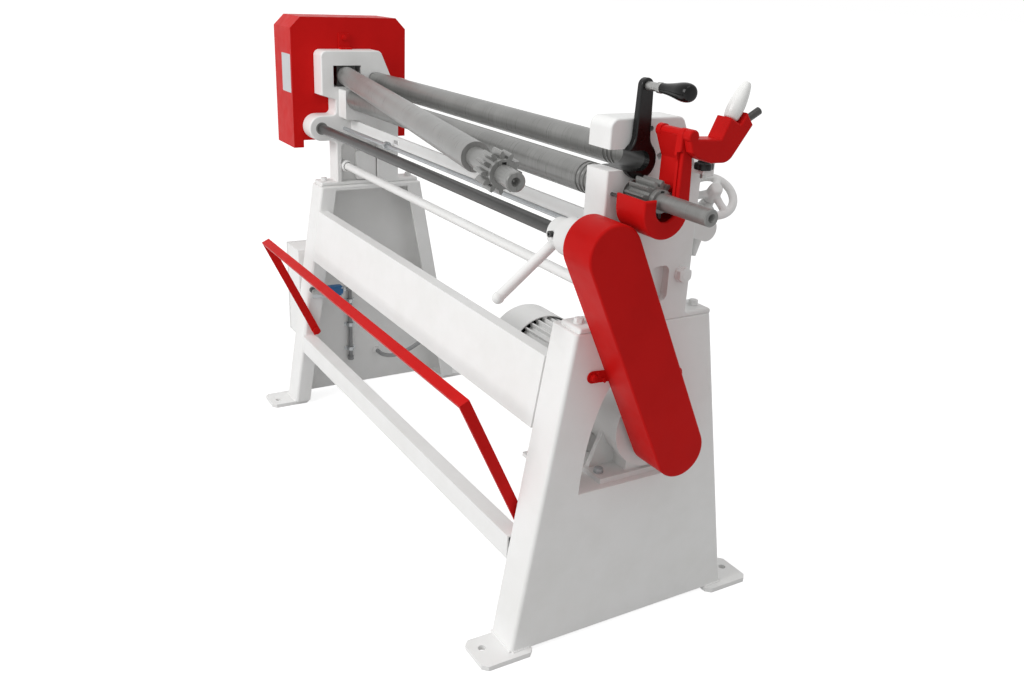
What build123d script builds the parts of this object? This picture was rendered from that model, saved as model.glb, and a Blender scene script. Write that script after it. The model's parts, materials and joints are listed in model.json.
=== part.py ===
from build123d import *
import math
import os

# Powered plate rolling machine (slip roll), in millimetres.
# +X runs along the rolls to the release end, +Y to the rear, +Z up. The floor is z = 0.
# The origin lies on the floor, in the middle of the four foot holes.

# Fits
FIXED_FIT = 0.02          # radial room of a piece that is pressed or screwed in place
RUNNING_FIT = 0.06        # radial room of a shaft in its bush
SLIDE_GAP = 0.3           # room of a block in its guide
PLATE_GAP = 1.5           # nip between the closed rolls

# Stands and frame
STAND_FACE = 770.0        # outer face of a stand, from the middle
STAND_HEIGHT = 740.0
STAND_BASE_HALF = 302.0
STAND_TOP_FRONT = -190.0
STAND_TOP_REAR = 157.0
STAND_PLATE = 6.0
STAND_BEND_R = 9.0            # outside radius of the bent edges
STAND_CORNER_R = 4.0          # ground edges of the top
STAND_FLANGE = 91.0
STAND_LIP = 50.0
STAND_TOP_PLATE = 12.0
ARCH_Y = -20.0
ARCH_HALF = 135.0
ARCH_FOOT_Z = 346.0           # middle of the arch's ellipse
ARCH_RISE = 322.0
FOOT_THICK = 12.0
FOOT_WIDTH = 100.0
FOOT_LENGTH = 128.0
FOOT_INSET = 8.0              # from the stand's inner edge
FOOT_OUT = 12.0               # of a plate's middle past the stand's base
FOOT_HOLE_R = 9.0
FOOT_HOLE_SIDE = 12.0         # from the plate's middle, towards the machine's middle
FOOT_HOLE_EDGE = 28.0         # from the plate's outer end
FOOT_CORNER = 12.0
BEAM_BOTTOM = 505.0
BEAM_HEIGHT = 160.0
BEAM_DEPTH = 30.0
BEAM_WALL = 5.0
RAIL_BOTTOM = 192.0
RAIL_HEIGHT = 58.0
RAIL_DEPTH = 40.0
RAIL_WALL = 4.0
TIE_PLATE_Y = -79.0
TIE_PLATE_THICK = 6.0
TIE_PLATE_BOTTOM = 914.0
TIE_PLATE_HEIGHT = 34.0
TIE_ROD_Y = -95.0
TIE_ROD_Z = 801.0
TIE_ROD_R = 12.0
TIE_ROD_COLLAR_R = 18.0

# Roll housings
HOUSING_THICK = 70.0
HOUSING_TOP = 1156.0
HOUSING_EDGE_R = 4.0
HOUSING_CORNER_R = 18.0
BASE_THICK = 11.0
BASE_FRONT = -182.0
BASE_REAR = 155.0
BASE_BOLT_INSET = 20.0
COLUMN_FRONT = -110.0
COLUMN_REAR = 85.0
HEAD_FRONT_RIGHT = -147.0
HEAD_FRONT_LEFT = -173.0
HEAD_REAR = 24.0
HEAD_SLANT = 40.0
LOBE_REAR = 118.0
LOBE_TOP = 1067.0
LOBE_THICK = 31.0
PILLAR_FRONT = -128.0
BEARING_REACH = 60.0          # of the lower roll's left bearing, past the housing
BEARING_HALF = 34.0
BEARING_DROP = 62.0
BEARING_RISE = 26.0
BEARING_EDGE_R = 5.0
GUIDE_WALL = 10.0             # of a housing, inside the rear roll's guide
POCKET_RISE = 45.0            # above the stand, as the next one
POCKET_TOP = 134.0
POCKET_DEPTH = 20.0
POCKET_R = 14.0
SHAFT_BOSS_R = 39.0
SIDE_BOLT_INSET = 24.0
SIDE_BOLT_RISE = 98.0

# Rolls
ROLL_Y = -84.0
LOWER_Z = 1017.0
LOWER_R = 33.0
UPPER_R = 28.5
REAR_R = 30.0
REAR_Y = 7.0
REAR_Z = 1062.0
ROLL_END_GAP = 6.0            # between a roll's body and a housing
LOWER_NECK_R = 18.0
LOWER_SHAFT_R = 16.0
LOWER_SHAFT_REACH = 225.0     # past the stand's outer face
UPPER_NECK_R = 19.0
UPPER_TIP_R = 17.0
UPPER_TIP_REACH = 150.0
UPPER_TAIL_R = 17.0
REAR_NECK_R = 16.0
BUSH_WALL = 5.0
GROOVE_R = 4.0
GROOVE_PITCH = 14.0
GROOVES = 3
LOWER_GROOVE_INSET = 42.0
REAR_GROOVE_INSET = 84.0
CENTRE_HOLE_R = 8.0
CENTRE_HOLE_DEPTH = 11.0
SWING_ANGLE = 11.57           # of the upper roll at rest, out of the right housing
SWIVEL_HALF = 31.0
SWIVEL_WIDTH = 58.0
SWIVEL_LENGTH = 56.0
TRUNNION_R = 10.0
TRUNNION_FOOT = 5.0
TRUNNION_HEAD = 20.0

# Release end: gears, bush, lever and guards
NIP_TEETH = 12
NIP_TIP = 5.4
NIP_ROOT = 6.2
LOWER_GEAR_START = 20.0       # past the stand's outer face
UPPER_GEAR_START = 30.0
NIP_GEAR_END = 76.0
UPPER_COLLAR_R = 25.0
LOWER_COLLAR_R = 22.0
COLLAR_WIDTH = 12.0
RELEASE_BUSH_R = 34.92
LEVER_THICK = 15.0
LEVER_RING_R = 36.0
LEVER_GAP = 2.0               # between the lever and the housing
LEVER_WIDTH = 28.0
LEVER_ROOT_WIDTH = 36.0
LEVER_FLARE_R = 30.0
LEVER_EDGE_R = 3.0
LEVER_LENGTH = 136.0
LEVER_PIN_R = 8.0
LEVER_PIN_LENGTH = 40.0
GRIP_LENGTH = 82.0
GRIP_END_R = 13.0
GRIP_SMALL_R = 9.5
GRIP_LARGE_R = 17.0
GUARD_START = 20.0            # past the stand's outer face, as the next three
GUARD_END = 105.0
GUARD_COLUMN_START = 27.0
GUARD_FLANGE_START = 90.0
GUARD_WALL = 5.0
GUARD_END_WALL = 7.0
GUARD_R = 52.0                # of the trough, round the lower gear
GUARD_DROP = 16.5             # of the trough's middle below the lower roll
GUARD_RISE = 23.5             # of the trough's rim above its middle
GUARD_SLOT_HALF = 23.5
GUARD_SLOT_DROP = 12.0
GUARD_COLUMN_ROOM = 1.5       # between the column and the closed upper gear
GUARD_COLUMN_THICK = 15.0
GUARD_FLANGE_REACH = 17.5     # of the column's end flange, to the front
GUARD_LEAN = 11.0             # of the column's top, to the front
GUARD_EDGE_R = 4.0
GUARD_STUD_R = 3.5
GUARD_FOOT_R = 8.0
HINGE_Y = -54.0
HINGE_Z = 1139.0
HINGE_R = 12.0
HINGE_EAR = 13.0
HINGE_BARREL_R = 10.0
HINGE_PIN_R = 5.0
FLIP_START = 86.0
FLIP_END = 124.0
FLIP_EAR_R = 12.0
FLIP_CAP = 4.0                # wall over the hinge pin's end
FLIP_BELLY_R = 28.0
FLIP_STEM_R = 6.0
FLIP_STEM_LENGTH = 20.0
FLIP_GRIP_LENGTH = 74.0
FLIP_GRIP_R = 16.0
FLIP_GRIP_FOOT_R = 12.5
FLIP_GRIP_TIP_R = 2.0
FLIP_GRIP_GAP = 0.5           # between the grip and the casting
FLIP_ROD_R = 7.5
FLIP_ROD_LENGTH = 44.0

# Rear roll lift
LIFT_ANGLE = 30.0             # lean of the lift from upright, towards the front
LIFT_TRAVEL = 12.0
LIFT_BLOCK_WIDTH = 48.0
LIFT_BLOCK_LENGTH = 56.0
LIFT_SCREW_R = 8.0
LIFT_SCREW_LENGTH = 60.0
CROSS_TUBE_Y = 70.0
CROSS_TUBE_Z = 985.0
CROSS_TUBE_R = 12.0
WHEEL_IN = 25.0               # of the wheel's middle, from the stand's outer face
WHEEL_Y = 140.0
WHEEL_Z = 988.0
WHEEL_TILT = 44.0             # of the wheel's axis from upright
WHEEL_TURN = -18.5            # of that tilt, from the roll's direction to the front
WHEEL_R = 56.0
WHEEL_RIM_R = 9.0
WHEEL_SPOKES = 3
WHEEL_SPOKE_ANGLE = 60.0
WHEEL_SPOKE_R = 8.5
WHEEL_DISH = 12.0             # of the hub's middle above the rim
WHEEL_HUB_R = 15.5
WHEEL_HUB_TOP = 33.0
WHEEL_HUB_BOTTOM = -10.0
SPINDLE_R = 8.0
SPINDLE_LENGTH = 42.0
WHEEL_BOSS_R = 12.0
WHEEL_BOSS_ROOT_R = 18.0
WHEEL_BOSS_LENGTH = 46.0
BRACKET_LENGTH = 65.0
BRACKET_OUT = 36.0            # of its round end's middle, behind the housing
BRACKET_Z = 924.0
BRACKET_R = 25.0
BRACKET_ROOT = 28.0           # height at the housing
BRACKET_ARM = 35.0            # length of the arm under the wheel's boss
BRACKET_ARM_R = 17.0
BRACKET_ARM_OUT = 25.0
PEG_R = 16.0                  # of the tapered peg under the bracket
PEG_TIP_R = 5.0
PEG_LENGTH = 46.0
PEG_HOLE_R = 2.5
KNOB_X = 27.0                 # past the stand's outer face
KNOB_Y = 63.0
KNOB_SEAT_Z = 1056.0
KNOB_LUG = 6.0                # thickness of the knob's lug
KNOB_LUG_HALF = 12.0
KNOB_R = 19.5
KNOB_HEIGHT = 27.0
KNOB_LOBES = 6

# Drive
DRIVE_MODULE = 3.0
DRIVE_PINION_TEETH = 22
DRIVE_GEAR_TEETH = 66
DRIVE_ANGLE = 225.9           # of the drive shaft about the lower roll
DRIVE_FACE = 34.0
PINION_FACE = 40.0
DRIVE_GEAR_OFFSET = 22.0      # past the stand's outer face
DRIVE_SHAFT_R = 14.0
PULLEY_START = 16.0
PULLEY_WIDTH = 44.0
DRIVEN_PULLEY_R = 52.0
MOTOR_PULLEY_R = 42.0
BELT_WIDTH = 13.0
BELT_DEPTH = 8.0
BELT_PITCH = 19.0
BELT_GUARD_R = 60.0
BELT_GUARD_DEPTH = 89.0
EAR_FRONT = 74.0              # guard ears, from the middle between the belt's axes
EAR_FRONT_DROP = 56.0
EAR_REAR = 149.0
EAR_REAR_DROP = 84.0
BELT_GUARD_WALL = 3.0
CLUTCH_HUB_R = 31.0
CLUTCH_HUB_WIDTH = 34.0
CLUTCH_LEVER_R = 12.5
CLUTCH_LEVER_REACH = 197.0
CLUTCH_LEVER_ANGLE = 218.5
SHIFT_ROD_Y = -100.0
SHIFT_ROD_Z = 920.0
SHIFT_ROD_R = 6.0
SHIFT_COLLAR_X = -372.0
SPRING_R = 9.5
SPRING_WIRE_R = 1.4
SPRING_LENGTH = 66.0
SPRING_TURNS = 9

# Gearmotor on its shelf
OUTPUT_Y = 37.0
OUTPUT_Z = 475.0
MOTOR_Y = 44.0
MOTOR_Z = 489.0
SHELF_TOP = 372.0
SHELF_THICK = 10.0
SHELF_LENGTH = 215.0
SHELF_FRONT_ROOM = 5.0        # past the arch
SHELF_REAR_ROOM = 60.0
SHELF_WEB_FRONT = -90.0
SHELF_WEB_REAR = 150.0
SHELF_WEB_THICK = 8.0
SHELF_WEB_DEPTH = 140.0
SHELF_WEB_START = 40.0
REDUCER_GAP = 18.0            # from the stand's outer face
REDUCER_LENGTH = 192.0
REDUCER_R = 92.0
REDUCER_FOOT_HALF = 130.0
OUTPUT_SHAFT_R = 19.0
MOTOR_LENGTH = 272.0
MOTOR_SHAFT_R = 10.0
MOTOR_CORE_R = 86.0
MOTOR_FIN_R = 100.0
MOTOR_FINS = 32
COWL_LENGTH = 98.0
COWL_R = 107.0
COWL_WALL = 2.5
COWL_EDGE_R = 14.0
FAN_R = 90.0
FAN_HUB_R = 22.0
FAN_ROOT_R = 15.0
FAN_DEPTH = 46.0
FAN_GAP = 8.0
FAN_PLATE = 6.0
FAN_VANE = 3.0
FAN_BLADES = 7
BOX_LENGTH = 110.0
BOX_HEIGHT = 96.0
BOX_DEPTH = 52.0

# Gear cover, control box, switch and kick bar
COVER_FRONT = -244.0
COVER_REAR = 139.0
COVER_BOTTOM = 854.0
COVER_TOP = 1250.0
COVER_DEPTH = 165.0
COVER_CHAMFER = 33.0
COVER_WALL = 3.0
COVER_STEP = 23.0             # of the cover's bottom, behind its front tab
COVER_TAB = 32.0
CONTROL_INSET = 57.5          # of the box's front behind the stand's base
CONTROL_WIDTH = 270.5
CONTROL_BOTTOM = 203.0
CONTROL_HEIGHT = 312.0
CONTROL_DEPTH = 114.0
CONTROL_WALL = 2.0
DOOR_THICK = 14.0
DOOR_GAP = 2.5                # for the door's seal
DOOR_HINGE_OUT = 6.0          # of the hinge pins behind the box
DOOR_HINGE_INSET = 60.0
DOOR_KNUCKLE = 24.0
DOOR_KNUCKLE_R = 5.0
DOOR_PIN_R = 2.0
LOCK_INSET = 22.0
SWITCH_Y = -199.0
SWITCH_Z = 384.0
SWITCH_LENGTH = 63.0
SWITCH_HEIGHT = 32.0
SWITCH_WIDTH = 30.0
SWITCH_ARM = 51.0
SWITCH_ROLLER_R = 9.0
SWITCH_ROLLER_LENGTH = 30.0
CONDUIT_R = 7.0
CONDUIT_Y = -73.0
CONDUIT_TOP = 376.0
CONDUIT_FOOT = 120.0
CONDUIT_BEND = 28.0
CABLE_R = 7.0
CABLE_EXIT_Y = 27.0
CABLE_EXIT_Z = 124.0
GLAND_R = 12.0
GLAND_LENGTH = 14.0
KICK_PIVOT_Y = -228.0
KICK_PIVOT_Z = 268.0
KICK_REACH = 356.0
KICK_LEAN = 25.7              # of the arms from upright, towards the front
KICK_BAR_WIDTH = 25.0
KICK_BAR_THICK = 8.0
KICK_ARM_END = 12.0           # of the arms past their pivots
KICK_GAP = 8.0

# Fasteners
M12_HEAD = 18.0               # across flats
M12_HEAD_HEIGHT = 8.0
M12_R = 6.0
M8_HEAD = 13.0
M8_HEAD_HEIGHT = 5.5
M8_R = 4.0
M20_HEAD = 30.0
M20_HEAD_HEIGHT = 12.0
M20_R = 10.0
WASHER_SHARE = 1.22           # washer to bolt head, across
WASHER_THICK = 3.0
BOLT_GRIP = 10.0

# Values that follow from the ones above
HOUSING_IN = STAND_FACE - HOUSING_THICK
ROLL_HALF_LENGTH = HOUSING_IN - ROLL_END_GAP
UPPER_Z = LOWER_Z + LOWER_R + UPPER_R + PLATE_GAP
PIVOT_X = -STAND_FACE + HOUSING_THICK / 2
NIP_MODULE = (UPPER_Z - LOWER_Z) / NIP_TEETH
NIP_PITCH_R = NIP_MODULE * NIP_TEETH / 2
DRIVE_CENTRES = DRIVE_MODULE * (DRIVE_PINION_TEETH + DRIVE_GEAR_TEETH) / 2
DRIVE_Y = ROLL_Y + DRIVE_CENTRES * math.cos(math.radians(DRIVE_ANGLE))
DRIVE_Z = LOWER_Z + DRIVE_CENTRES * math.sin(math.radians(DRIVE_ANGLE))
BUSH_R = LOWER_NECK_R + RUNNING_FIT + BUSH_WALL
DRIVE_BUSH_R = DRIVE_SHAFT_R + RUNNING_FIT + BUSH_WALL
PRESSURE_ANGLE = math.radians(20)
BACKLASH = 0.5
REDUCER_START = STAND_FACE - REDUCER_GAP - REDUCER_LENGTH
MOTOR_START = REDUCER_START - MOTOR_LENGTH
COWL_START = MOTOR_START - COWL_LENGTH
CONTROL_FRONT = CONTROL_INSET - STAND_BASE_HALF
GUARD_FRONT = ROLL_Y - GUARD_R
GUARD_MIDDLE = LOWER_Z - GUARD_DROP
GUARD_TOP = GUARD_MIDDLE + GUARD_RISE
COLUMN_FACE = ROLL_Y + NIP_PITCH_R + NIP_TIP + GUARD_COLUMN_ROOM


def polygon(*points):
    """A face in the (y, z) plane, from its corners."""
    return make_face(Polyline(*points, close=True))


def along_x(sketch, x0, x1):
    """Extrude a (y, z) face from x0 to x1."""
    return extrude(Plane.YZ.offset(x0) * sketch, amount=x1 - x0)


def rod_x(x0, x1, radius, y, z):
    """A round bar along X."""
    return Pos((x0 + x1) / 2, y, z) * Rot(0, 90, 0) * Cylinder(radius, x1 - x0)


def ring_x(x0, x1, outer, inner, y, z):
    """A round tube along X."""
    return rod_x(x0, x1, outer, y, z) - rod_x(x0 - 1, x1 + 1, inner, y, z)


def block(x0, x1, y0, y1, z0, z1):
    """A box between two corners."""
    return Pos((x0 + x1) / 2, (y0 + y1) / 2, (z0 + z1) / 2) * Box(x1 - x0, y1 - y0, z1 - z0)


def at(y, z, sketch):
    """Move a (y, z) face."""
    return Pos(y, z) * sketch


def belt_loop(radius_a, radius_b):
    """The face inside a band round the drive shaft's and the output shaft's axes."""
    circle_a = at(DRIVE_Y, DRIVE_Z, Circle(radius_a))
    circle_b = at(OUTPUT_Y, OUTPUT_Z, Circle(radius_b))
    return make_hull(circle_a.edges() + circle_b.edges())


def mirrored(shape):
    return mirror(shape, about=Plane.YZ)


def group(*shapes):
    """Several solids of one node."""
    return Compound(children=[solid for shape in shapes for solid in shape.solids()])


def swung(shape):
    """Turn a piece of the upper roll from its closed place to its place at rest, swung out."""
    return Pos(PIVOT_X, ROLL_Y, 0) * Rot(0, 0, -SWING_ANGLE) * Pos(-PIVOT_X, -ROLL_Y, 0) * shape


def gear_face(teeth, module, tip, root, phase):
    """An involute gear outline about the origin, with one tooth at the angle phase."""
    pitch_r = module * teeth / 2
    base_r = pitch_r * math.cos(PRESSURE_ANGLE)
    tip_r = pitch_r + tip
    root_r = pitch_r - root
    half_tooth = math.pi / (2 * teeth) - BACKLASH / (4 * pitch_r)
    start_r = max(base_r, root_r + 0.1)
    radii = [root_r, start_r, (start_r + tip_r) / 2, tip_r]

    def half_angle(radius):
        roll_angle = math.acos(base_r / max(radius, base_r))
        involute = math.tan(roll_angle) - roll_angle
        return half_tooth + math.tan(PRESSURE_ANGLE) - PRESSURE_ANGLE - involute

    points = []
    for tooth in range(teeth):
        centre = phase + 2 * math.pi * tooth / teeth
        flank_a = [(radius, centre - half_angle(radius)) for radius in radii]
        flank_b = [(radius, centre + half_angle(radius)) for radius in reversed(radii)]
        points += [(r * math.cos(a), r * math.sin(a)) for r, a in flank_a + flank_b]
    return polygon(*points)


def hex_bolt(point, direction, flats, head_height, radius):
    """A hex bolt on a washer, which seats at point and stands out along direction."""
    plane = Plane(origin=point, z_dir=direction)
    washer = extrude(plane * Circle(WASHER_SHARE * flats / 2), amount=WASHER_THICK)
    head = plane.offset(WASHER_THICK) * RegularPolygon(flats / 2, 6, major_radius=False)
    shank = extrude(plane * Circle(radius), amount=-BOLT_GRIP)
    return washer + extrude(head, amount=head_height) + shank


def bolt_hole(point, direction, radius):
    """The hole that takes such a bolt's shank."""
    plane = Plane(origin=point, z_dir=direction)
    return extrude(plane * Circle(radius + FIXED_FIT), amount=-BOLT_GRIP - 0.5)


def stand_front(z):
    """Where the sloping front of a stand lies at a height."""
    share = (z - FOOT_THICK) / (STAND_HEIGHT - FOOT_THICK)
    return -STAND_BASE_HALF + share * (STAND_TOP_FRONT + STAND_BASE_HALF)


def stand_rear(z):
    share = (z - FOOT_THICK) / (STAND_HEIGHT - FOOT_THICK)
    return STAND_BASE_HALF + share * (STAND_TOP_REAR - STAND_BASE_HALF)


def front_strip(z0, z1, depth0, depth1):
    """A band that follows the stand's front edge, between two depths behind it."""
    return polygon((stand_front(z0) + depth0, z0), (stand_front(z1) + depth0, z1),
                   (stand_front(z1) + depth1, z1), (stand_front(z0) + depth1, z0))


def rear_strip(z0, z1, depth0, depth1):
    return polygon((stand_rear(z0) - depth0, z0), (stand_rear(z1) - depth0, z1),
                   (stand_rear(z1) - depth1, z1), (stand_rear(z0) - depth1, z0))


def stand():
    """The right stand: a plate with bent front and rear flanges and a thick top."""
    inner = STAND_FACE - STAND_FLANGE
    under = STAND_HEIGHT - STAND_TOP_PLATE
    side = polygon((-STAND_BASE_HALF, FOOT_THICK), (STAND_BASE_HALF, FOOT_THICK),
                   (STAND_TOP_REAR, STAND_HEIGHT), (STAND_TOP_FRONT, STAND_HEIGHT))
    top = polygon((stand_front(under), under), (stand_rear(under), under),
                  (STAND_TOP_REAR, STAND_HEIGHT), (STAND_TOP_FRONT, STAND_HEIGHT))
    body = along_x(side, STAND_FACE - STAND_PLATE, STAND_FACE) + along_x(top, inner, STAND_FACE)
    for strip in (front_strip, rear_strip):
        body += along_x(strip(FOOT_THICK, under, 0, STAND_PLATE), inner, STAND_FACE)
        body += along_x(strip(FOOT_THICK, under, 0, STAND_LIP), inner, inner + STAND_PLATE)
    body = fillet(body.edges().filter_by(stand_bend), STAND_BEND_R)
    return fillet(body.faces().sort_by(Axis.Z)[-1].edges(), STAND_CORNER_R)


def stand_bend(edge):
    """Whether an edge is a long one on the outside of a stand's front or rear."""
    point = edge @ 0.5
    outside = min(abs(point.Y - stand_front(point.Z)), abs(point.Y - stand_rear(point.Z)))
    return edge.length > STAND_HEIGHT / 2 and outside < STAND_PLATE / 2


def arch():
    """The opening in the right stand, half an ellipse above the gearmotor's shelf."""
    opening = at(ARCH_Y, ARCH_FOOT_Z, Ellipse(ARCH_HALF, ARCH_RISE))
    opening -= at(ARCH_Y, SHELF_TOP - ARCH_RISE, Rectangle(4 * ARCH_HALF, 2 * ARCH_RISE))
    return along_x(opening, STAND_FACE - STAND_PLATE - 1, STAND_FACE + 1)


def foot_plates():
    plates = []
    for side_x in (-1, 1):
        for side_y in (-1, 1):
            centre_x = side_x * (STAND_FACE - STAND_FLANGE + FOOT_WIDTH / 2 + FOOT_INSET)
            centre_y = side_y * (STAND_BASE_HALF + FOOT_OUT)
            hole_x = centre_x - side_x * FOOT_HOLE_SIDE
            hole_y = centre_y + side_y * (FOOT_LENGTH / 2 - FOOT_HOLE_EDGE)
            plate = Pos(centre_x, centre_y, FOOT_THICK / 2) * Box(FOOT_WIDTH, FOOT_LENGTH, FOOT_THICK)
            plate = chamfer(plate.edges().filter_by(Axis.Z), FOOT_CORNER)
            plates.append(plate - Pos(hole_x, hole_y, FOOT_THICK / 2) * Cylinder(FOOT_HOLE_R, FOOT_THICK + 2))
    return group(*plates)


def front_beam():
    """A channel across the front, open to the rear."""
    inner = STAND_FACE - STAND_FLANGE
    top = BEAM_BOTTOM + BEAM_HEIGHT
    outside = front_strip(BEAM_BOTTOM, top, 0, BEAM_DEPTH)
    hollow = front_strip(BEAM_BOTTOM + BEAM_WALL, top - BEAM_WALL, BEAM_WALL, BEAM_DEPTH + 1)
    return along_x(outside - hollow, -inner, inner)


def lower_rail():
    inner = STAND_FACE - STAND_FLANGE
    front = stand_front(RAIL_BOTTOM + RAIL_HEIGHT / 2)
    centre = (front + RAIL_DEPTH / 2, RAIL_BOTTOM + RAIL_HEIGHT / 2)
    section = at(*centre, Rectangle(RAIL_DEPTH, RAIL_HEIGHT))
    section -= at(*centre, Rectangle(RAIL_DEPTH - 2 * RAIL_WALL, RAIL_HEIGHT - 2 * RAIL_WALL))
    return along_x(section, -inner, inner)


def tie_plate():
    plate = block(-HOUSING_IN, HOUSING_IN, TIE_PLATE_Y, TIE_PLATE_Y + TIE_PLATE_THICK,
                  TIE_PLATE_BOTTOM, TIE_PLATE_BOTTOM + TIE_PLATE_HEIGHT)
    middle = TIE_PLATE_BOTTOM + TIE_PLATE_HEIGHT / 2
    window = Pos(-HOUSING_IN / 2, TIE_PLATE_Y, middle) * Box(34, 4 * TIE_PLATE_THICK, TIE_PLATE_HEIGHT / 3)
    return plate - window


def lift_frame():
    """Local axes of the rear roll's lift in the (y, z) plane: along it and across it."""
    lean = math.radians(LIFT_ANGLE)
    return (-math.sin(lean), math.cos(lean)), (math.cos(lean), math.sin(lean))


def lift_rectangle(width, length, shift):
    """A rectangle of the lift guide, moved along the lift."""
    along, _ = lift_frame()
    centre = (REAR_Y + shift * along[0], REAR_Z + shift * along[1])
    return at(*centre, Rot(0, 0, LIFT_ANGLE) * Rectangle(width, length))


def lift_circle(radius, shift):
    """A circle round the rear roll's axis, moved along the lift."""
    along, _ = lift_frame()
    return at(REAR_Y + shift * along[0], REAR_Z + shift * along[1], Circle(radius))


def lift_guide(x0, x1):
    """The slot for a rear bearing block, a narrow one for the roll's neck, and the hole for the screw."""
    room = LIFT_TRAVEL + 1
    wall = HOUSING_IN + GUIDE_WALL
    slot = lift_rectangle(LIFT_BLOCK_WIDTH + 2 * SLIDE_GAP, LIFT_BLOCK_LENGTH + 2 * room, 0)
    neck = lift_circle(REAR_NECK_R + 1, -room).edges() + lift_circle(REAR_NECK_R + 1, room).edges()
    guide = along_x(slot, wall, x1) + along_x(make_hull(neck), x0, wall + 1)
    return guide + lift_bar(x0, x1, LIFT_SCREW_R + SLIDE_GAP, LIFT_SCREW_LENGTH + LIFT_TRAVEL + 1)


def lift_bar(x0, x1, radius, length):
    """A round bar that goes down along the lift from under a rear bearing block."""
    along, _ = lift_frame()
    start = -LIFT_BLOCK_LENGTH / 2
    origin = ((x0 + x1) / 2, REAR_Y + start * along[0], REAR_Z + start * along[1])
    plane = Plane(origin=origin, z_dir=(0, -along[0], -along[1]))
    return extrude(plane * Circle(radius), amount=length)


def housing_bolts():
    """Where the bolts that hold the right housing down seat."""
    seat = STAND_HEIGHT + BASE_THICK
    middle = STAND_FACE - HOUSING_THICK / 2
    places = (BASE_FRONT + BASE_BOLT_INSET, BASE_REAR - BASE_BOLT_INSET)
    return [((middle, y, seat), (0, 0, 1)) for y in places]


def housing_side_bolts():
    """Where the large bolt in the right housing's outer face seats."""
    return [((STAND_FACE, COLUMN_REAR - SIDE_BOLT_INSET, STAND_HEIGHT + SIDE_BOLT_RISE), (1, 0, 0))]


def housing_holes():
    """Bores that both housings have: lower roll, drive shaft, shift rod and rear roll guide."""
    x0 = HOUSING_IN - 1
    x1 = STAND_FACE + 1
    holes = rod_x(x0, x1, BUSH_R + FIXED_FIT, ROLL_Y, LOWER_Z)
    holes += rod_x(x0, x1, DRIVE_BUSH_R + FIXED_FIT, DRIVE_Y, DRIVE_Z)
    holes += rod_x(x0, x1, SHIFT_ROD_R + RUNNING_FIT, SHIFT_ROD_Y, SHIFT_ROD_Z)
    return holes + lift_guide(x0, x1)


def housing_rear(top):
    """Corners of the rear edge of a housing, from the head down to the base."""
    seat = STAND_HEIGHT + BASE_THICK
    return [(HEAD_REAR, top), (HEAD_REAR + HEAD_SLANT, LOBE_TOP), (LOBE_REAR, LOBE_TOP),
            (LOBE_REAR, LOBE_TOP - LOBE_THICK), (COLUMN_REAR, LOBE_TOP - LOBE_THICK - 6),
            (COLUMN_REAR, seat), (BASE_REAR, seat), (BASE_REAR, STAND_HEIGHT)]


def cast(outline):
    """Round a housing's top corners and its foot, extrude it and round the edges of both faces."""
    outline = fillet(outline.vertices().group_by(Axis.Y)[-1], HOUSING_CORNER_R)
    seat = STAND_HEIGHT + BASE_THICK
    outline = fillet(outline.vertices().filter_by_position(Axis.Y, seat - 1, seat + 1), BASE_THICK / 2)
    body = along_x(outline, HOUSING_IN, STAND_FACE)
    faces = body.faces().sort_by(Axis.X)
    return fillet(faces[0].edges() + faces[-1].edges(), HOUSING_EDGE_R)


def right_housing():
    """The housing with an open mouth, where the upper roll swings in and is locked."""
    seat = STAND_HEIGHT + BASE_THICK
    outline = polygon((BASE_FRONT, STAND_HEIGHT), (BASE_FRONT, seat), (COLUMN_FRONT, seat),
                      (COLUMN_FRONT, DRIVE_Z - 62), (HEAD_FRONT_RIGHT, DRIVE_Z - 30),
                      (HEAD_FRONT_RIGHT, HOUSING_TOP), *housing_rear(HOUSING_TOP))
    body = cast(outline + at(DRIVE_Y, DRIVE_Z, Circle(SHAFT_BOSS_R)))
    mouth = UPPER_NECK_R + 1
    body -= rod_x(HOUSING_IN - 1, STAND_FACE + 1, RELEASE_BUSH_R + RUNNING_FIT, ROLL_Y, UPPER_Z)
    body -= block(HOUSING_IN - 1, STAND_FACE + 1, HEAD_FRONT_RIGHT - 1, ROLL_Y,
                  UPPER_Z - mouth, UPPER_Z + mouth)
    pocket = block(STAND_FACE - POCKET_DEPTH, STAND_FACE + 1, -18, 28,
                   STAND_HEIGHT + POCKET_RISE, STAND_HEIGHT + POCKET_TOP - POCKET_R)
    body -= fillet(pocket.edges().filter_by(Axis.X), POCKET_R)
    for point, direction in housing_bolts():
        body -= bolt_hole(point, direction, M12_R)
    for point, direction in housing_side_bolts():
        body -= bolt_hole(point, direction, M20_R)
    for point, direction in guard_studs():
        body -= bolt_hole(point, direction, GUARD_STUD_R)
    lug = block(STAND_FACE - HOUSING_EDGE_R, STAND_FACE + KNOB_X + KNOB_LUG_HALF, KNOB_Y - KNOB_LUG_HALF,
                KNOB_Y + KNOB_LUG_HALF, KNOB_SEAT_Z - KNOB_LUG, KNOB_SEAT_Z)
    stud = Pos(STAND_FACE + KNOB_X, KNOB_Y, KNOB_SEAT_Z) * Cylinder(M12_R + RUNNING_FIT, 4 * KNOB_LUG)
    return body + (lug - stud) - housing_holes()


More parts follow.
